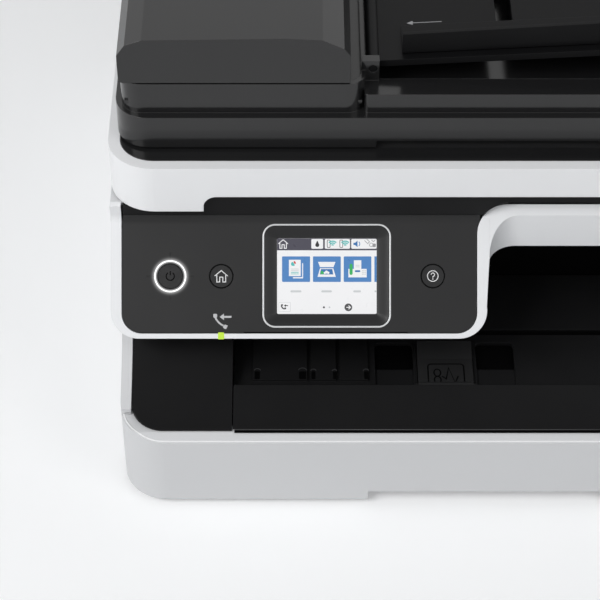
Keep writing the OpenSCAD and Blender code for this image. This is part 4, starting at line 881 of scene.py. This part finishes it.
# level lines with an arrow on each tank, and a spot of its colour below
def makeTankMarks():
    i = inkTanks
    front = frontFrame(i["face"])
    lines, spots = [], {}
    width, foot, head = i["spot"]
    for k, ink in enumerate(inks):
        x = i["first"] + k * i["pitch"] + i["width"] / 2
        for z in i["levels"]:
            lines += [plateShape(box(x - 6.9, x - 5.3, z - 0.2, z + 0.2), -0.02, 0.05),
                      plateShape([(x + 5.4, z), (x + 7.0, z - 0.8), (x + 7.0, z + 0.8)], -0.02, 0.05)]
        spots[ink] = [plateShape(softBox(x - width / 2, x + width / 2, foot, head, 0.9), -0.02, 0.05)]
    drawn("tank_levels", front, lines, paint("levelWhite", (0.6, 0.6, 0.61)), "chassis")
    for ink, shapes in spots.items():
        shade = (0.1, 0.1, 0.105) if ink == "black" else inks[ink]
        drawn("tank_spot_" + ink, front, shapes, paint("spot" + ink.title(), shade), "chassis")


makeTrayDetails()
makeStopperSign()
makeFasciaLines()
makeLedgeRim()
makeOutlet()
makeTankMarks()
print("front, outlet and tanks dressed")

screws = {
    "radius": 2.9, "height": 1.3, "cross": 1.7, "slotWidth": 0.62, "slotDepth": 0.8, "face": 167.6,
    "rings": 12, "spokes": 32,
    "rear": ((-158, 58), (-158, 88), (99, 40), (168, 54), (-136, 26), (99, 132), (-104, 32), (-4, 32)),
}


# pan head: its height falls with the fourth power of the radius, and a cross sinks into the middle
def screwShape(cx, cy):
    s = screws
    rings, spokes = s["rings"], s["spokes"]
    r = np.linspace(0, 1, rings)[:, None] * s["radius"]
    a = np.linspace(0, 2 * math.pi, spokes + 1)[None, :-1]
    x, y = r * np.cos(a), r * np.sin(a)
    z = s["height"] * (1 - (r / s["radius"]) ** 4) + 0 * a
    narrow = np.minimum(np.abs(x), np.abs(y)) < s["slotWidth"] / 2
    short = np.maximum(np.abs(x), np.abs(y)) < s["cross"]
    z = z - s["slotDepth"] * (narrow & short)
    xyz = np.stack([cx + x, cy + y, z], -1)[1:].reshape(-1, 3)
    xyz = np.vstack([xyz, [[cx, cy, z[0, 0]]]])
    tip = len(xyz) - 1
    last = (rings - 2) * spokes
    faces = gridFaces(rings - 1, spokes, False, True).tolist()
    faces += [[tip, k, (k + 1) % spokes] for k in range(spokes)]
    return xyz, faces + [list(range(last + spokes - 1, last - 1, -1))]


sockets = {
    "usb": (112, 124), "network": (129, 143), "phone": (147, 157),  # left and right of each opening
    "wires": (("network", 8, 1.02), ("phone", 4, 1.1)),  # opening, count and pitch
    "wire": ((167.2, 83.6), (157, 78.5), (157, 78.1), (167.2, 83.2)),
    "shell": ((165.2, 86.0), (165.2, 85.2), (168.3, 85.2), (168.3, 86.0)),
    "tongue": ((156, 80.6), (156, 77.4), (166.6, 77.4), (166.6, 80.6)),
    "pad": ((157, 80.9), (157, 80.5), (166.3, 80.5), (166.3, 80.9)),
    "frame": (69.6, 88.4, 167.9),  # foot, head and the face it stands on
}


# spring wires and shells in the data sockets, and a raised frame round each
def makeSockets():
    s = sockets
    gold = moulded("contactGold", (0.72, 0.5, 0.2), 0.25, 0.05, 300, None, 300, 0, Metallic=1.0)
    contacts, shells = [], []
    for name, count, pitch in s["wires"]:
        mid = sum(s[name]) / 2
        contacts += [solidOf(s["wire"], x - 0.2, x + 0.2)
                     for x in mid + (np.arange(count) - (count - 1) / 2) * pitch]
        shells.append(solidOf(s["shell"], mid - 3, mid + 3))
    mid = sum(s["usb"]) / 2
    shells.append(solidOf(s["tongue"], mid - 2.6, mid + 2.6))
    contacts += [solidOf(s["pad"], x - 0.4, x + 0.4) for x in (mid - 1.9, mid + 1.9)]
    plain("socket_contacts", contacts, gold, "chassis")
    plain("socket_shells", shells, finishes["zinc_steel"], "chassis")
    low, high, face = s["frame"]
    frames = [strokeShape(softBox(-s[name][1] - 0.4, -s[name][0] + 0.4, low, high, 0.8), 0.7, -0.4, 0.5, True)
              for name in ("usb", "network", "phone")]
    drawn("socket_frames", rearFrame(face), frames, finishes["dark_grey"], "chassis")


rearMarks = {
    "plate": (-78, -18, 16, 40, 1.5), "plateFace": 167.6,  # left, right, foot, head and corner
    "arrowX": (93, -57), "arrow": (2.6, 106, 110.5), "arrowFace": 173.5,  # half width, foot and tip
    "ribX": -157.5, "ribPitch": 9.0, "ribs": 6, "ribZ": (14, 41), "ribWidth": 1.2, "ribFace": 170.0,
}


# bare rating plate, arrows that show how the rear unit comes out, and ribs on the waste box's grip
def makeRearMarks():
    r = rearMarks
    plate = [plateShape(softBox(*r["plate"]), -0.1, 0.25)]
    drawn("rating_plate", rearFrame(r["plateFace"]), plate, paint("plateSilver", (0.5, 0.51, 0.52)),
          "chassis")
    half, foot, tip = r["arrow"]
    arrows = [plateShape([(x - half, foot), (x + half, foot), (x, tip)], -0.1, 0.35) for x in r["arrowX"]]
    drawn("rear_unit_arrows", rearFrame(r["arrowFace"]), arrows, finishes["pale_plastic"], "rear_unit")
    low, high = r["ribZ"]
    ribs = [strokeShape([(x, low), (x, high)], r["ribWidth"], -0.2, 0.7)
            for x in r["ribX"] + r["ribPitch"] * np.arange(r["ribs"])]
    drawn("waste_box_ribs", rearFrame(r["ribFace"]), ribs, finishes["pale_plastic"], "waste_box")


drawn("rear_screws", rearFrame(screws["face"]), [screwShape(-x, z) for x, z in screws["rear"]],
      finishes["zinc_steel"], "chassis", True)
makeSockets()
makeRearMarks()
print("rear dressed")


# flat frame on a face that rises along x: across the rise, along y, and out of it
def slopeFrame(start, end, y):
    (xa, za), (xb, zb) = start, end
    d = np.array([xb - xa, 0, zb - za])
    d /= np.linalg.norm(d)
    return (xa, y, za), tuple(d), (0, 1, 0), (-d[2], 0, d[0])


mat = {"x": (-176.5, 176.5), "y": (-85.5, 146.0), "z": (168.9, 172.6), "corner": 9.0, "round": 1.3}


# white foam mat under the cover: level across, and rounded at the rim as a quarter circle
def makeMat():
    low, high = mat["z"]
    r = mat["round"]
    foam = moulded("matFoam", (0.72, 0.72, 0.71), 0.7, 0.02, 60, (1800, 6e-5, 0.5), 300, 0)
    path, normal = roundRect(*mat["x"], *mat["y"], mat["corner"], 12)
    t = np.linspace(0, math.pi / 2, 7)
    profile = np.column_stack([-r + r * np.cos(t), low + r - r * np.sin(t)])
    profile = np.vstack([[0, high], profile])
    xy = path[:, None, :] + normal[:, None, :] * profile[None, :, :1]
    z = np.broadcast_to(profile[None, :, 1], xy.shape[:2])
    n, m = xy.shape[:2]
    points = np.concatenate([xy, z[..., None]], -1).reshape(-1, 3)
    faces = gridFaces(n, m, True)[:, ::-1].tolist()
    faces += [[i * m + m - 1 for i in range(n)][::-1], [i * m for i in range(n)]]
    addPiece("scan_mat", points * mm, faces, foam, "lid", False)


glassMarks = {
    "top": 168.3, "glass": (-147.7, 157.7, -65.7, 153.7), "strip": (-171.7, -158.3),
    "widths": (148, 210, 279.4, 297), "heights": (105, 148, 210),  # paper sizes from the corner
    "tick": (1.4, 5.2), "tickLine": 0.4, "seal": 0.5,
}


# corner arrow and paper size ticks beside the glass, and the seal round both panes
def makeGlassMarks():
    g = glassMarks
    x0, x1, y0, y1 = g["glass"]
    near, far = g["tick"]
    half = g["tickLine"] / 2
    marks = [plateShape([(x0 - 8.5, y1 - 1.5), (x0 - 2.5, y1 - 1.5), (x0 - 2.5, y1 - 7.5)], -0.02, 0.04)]
    marks += [plateShape(box(x0 + w - half, x0 + w + half, y0 - far, y0 - near), -0.02, 0.04)
              for w in g["widths"]]
    marks += [plateShape(box(x0 - far, x0 - near, y1 - h - half, y1 - h + half), -0.02, 0.04)
              for h in g["heights"]]
    top = flatFrame(g["top"])
    drawn("deck_marks", top, marks, paint("deckWhite", (0.5, 0.5, 0.5)), "scanner")
    seal = [strokeShape(softBox(a - 0.2, b + 0.2, y0 - 0.2, y1 + 0.2, 0.6), g["seal"], -0.5, 0.12, True)
            for a, b in ((x0, x1), g["strip"])]
    drawn("glass_frame", top, seal, finishes["dark_grey"], "scanner")


feeder = {
    "trayStart": (-60.0, 206.5), "trayEnd": (120.0, 217.4),  # x and z of the tray's slope
    "coverStart": (-168.0, 231.0), "coverEnd": (-100.0, 232.0), "middle": 30.0,
    "halfWidths": (74.0, 52.5), "guideLine": (20, 34), "arrow": (3, 1.6),
    "ribY": (-21, -7, 7, 21), "ribX": (8, 172), "ribWidth": 1.1, "ribHeight": 0.5,
    "sheet": ((10, -11), (24, -11), (24, 6), (19, 11), (10, 11)), "fold": ((19, 11), (19, 6), (24, 6)),
    "textY": (-7, -3, 1), "textX": (12.4, 21.6), "shaft": ((40, 0), (30.5, 0)),
    "head": ((31.5, -2.4), (31.5, 2.4), (27.5, 0)),
    "lip": (-71.0, 213.0, -60.0, 120.0, 0.5),  # x, z, front, rear and radius
}


# paper width marks and ribs on the feeder's tray, a page sign on its cover, and the cover's lip:
# a circle carried along y
def makeFeederMarks():
    f = feeder
    pale = paint("feederGrey", (0.3, 0.3, 0.31))
    ramp = slopeFrame(f["trayStart"], f["trayEnd"], f["middle"])
    x0, x1 = f["guideLine"]
    long, wide = f["arrow"]
    lines = []
    for y in [way * half for half in f["halfWidths"] for way in (-1, 1)]:
        lines += [plateShape(box(x0, x1, y - 0.25, y + 0.25), -0.03, 0.05),
                  plateShape([(x0, y - wide), (x0, y + wide), (x0 - long, y)], -0.03, 0.05)]
    drawn("feeder_marks", ramp, lines, pale, "feeder_tray")
    x0, x1 = f["ribX"]
    ribs = [strokeShape([(x0, y), (x1, y)], f["ribWidth"], -0.2, f["ribHeight"]) for y in f["ribY"]]
    drawn("feeder_tray_ribs", ramp, ribs, finishes["black_satin"], "feeder_tray")
    x0, x1 = f["textX"]
    page = [strokeShape(f["sheet"], 0.8, -0.1, 0.05, True), strokeShape(f["fold"], 0.6, -0.1, 0.06)]
    page += [strokeShape([(x0, y), (x1, y)], 0.7, -0.1, 0.06) for y in f["textY"]]
    page += [strokeShape(f["shaft"], 0.9, -0.1, 0.05), plateShape(f["head"], -0.1, 0.06)]
    top = slopeFrame(f["coverStart"], f["coverEnd"], f["middle"])
    drawn("feeder_sign", top, page, pale, "feeder_cover")
    x, z, front, rear, r = f["lip"]
    ring = arcPoints(x, z, r, 0, 315, 8)
    rings = np.stack([np.insert(ring, 1, y, axis=1) for y in (front, rear)])
    faces = gridFaces(2, 8, False, True).tolist() + [list(range(8)), list(range(8, 16))[::-1]]
    addPiece("feeder_lip", rings * mm, faces, finishes["dark_grey"], "feeder_cover")


makeMat()
makeGlassMarks()
makeFeederMarks()
print("scanner and feeder dressed")

board = {
    "face": 172.0,
    "chips": ((102, 112, 16, 16), (128, 100, 12, 9), (128, 78, 10, 14), (148, 70, 8, 8), (96, 64, 14, 7)),
    "chipHeight": 1.5, "legPitch": 1.2,
    "cans": ((146, 112), (152, 100), (146, 88), (118, 62)), "canRadius": 3.4, "canHeight": 6.5,
}


# chips with their legs, and capacitor cans, on the board's inner face
def makeBoardParts():
    b = board
    inner = sideFrame(b["face"], -1)
    chips, legs = [], []
    for y, z, w, h in b["chips"]:
        outline = softBox(-y - w / 2, -y + w / 2, z - h / 2, z + h / 2, 0.5, 3)
        chips.append(plateShape(outline, -0.1, b["chipHeight"]))
        for k in np.arange(-w / 2 + 1, w / 2 - 0.5, b["legPitch"]):
            for mid in (z - h / 2 - 0.7, z + h / 2 + 0.7):
                legs.append(plateShape(box(-y + k, -y + k + 0.5, mid - 0.6, mid + 0.6), -0.05, 0.35))
    cans = [plateShape(disc(-y, z, b["canRadius"]), -0.1, b["canHeight"]) for y, z in b["cans"]]
    drawn("board_chips", inner, chips, finishes["dark_grey"], "chassis")
    drawn("board_legs", inner, legs, finishes["zinc_steel"], "chassis")
    drawn("board_cans", inner, cans, finishes["motor_steel"], "chassis")


belt = {"teeth": 168, "ridge": (0.9, 0.5), "radius": 7.25, "z": 112.0, "x": 166.0, "y": (33.8, 38.2)}


# ridges at an even pitch along the inner side of the belt's two runs
def makeBeltTeeth():
    wide, high = (v / 2 for v in belt["ridge"])
    y0, y1 = belt["y"]
    ridges = []
    for x in np.linspace(-belt["x"] + 4, belt["x"] - 4, belt["teeth"]):
        for way in (-1, 1):
            z = belt["z"] + way * (belt["radius"] - 1.0)
            profile = [(y0, z + high), (y0, z - high), (y1, z - high), (y1, z + high)]
            ridges.append(solidOf(profile, x - wide, x + wide))
    plain("belt_teeth", ridges, finishes["belt_rubber"], "chassis")


cassette = {
    "floor": 9.5, "middle": -18.0, "halfWidths": (52.5, 74.0), "widthY": (-96, -66),
    "lengths": (20, 58, 92), "lengthX": (-58, -38), "line": 0.6,
}


# paper size lines on the cassette's floor
def makeCassetteMarks():
    c = cassette
    half = c["line"] / 2
    lines = []
    for x in [c["middle"] + way * w for w in c["halfWidths"] for way in (-1, 1)]:
        lines.append(plateShape(box(x - half, x + half, *c["widthY"]), -0.02, 0.04))
    for y in c["lengths"]:
        lines.append(plateShape(box(*c["lengthX"], y - half, y + half), -0.02, 0.04))
    drawn("cassette_marks", flatFrame(c["floor"]), lines, paint("cassetteGrey", (0.36, 0.36, 0.37)),
          "cassette")


makeBoardParts()
makeBeltTeeth()
makeCassetteMarks()
print("inside dressed")
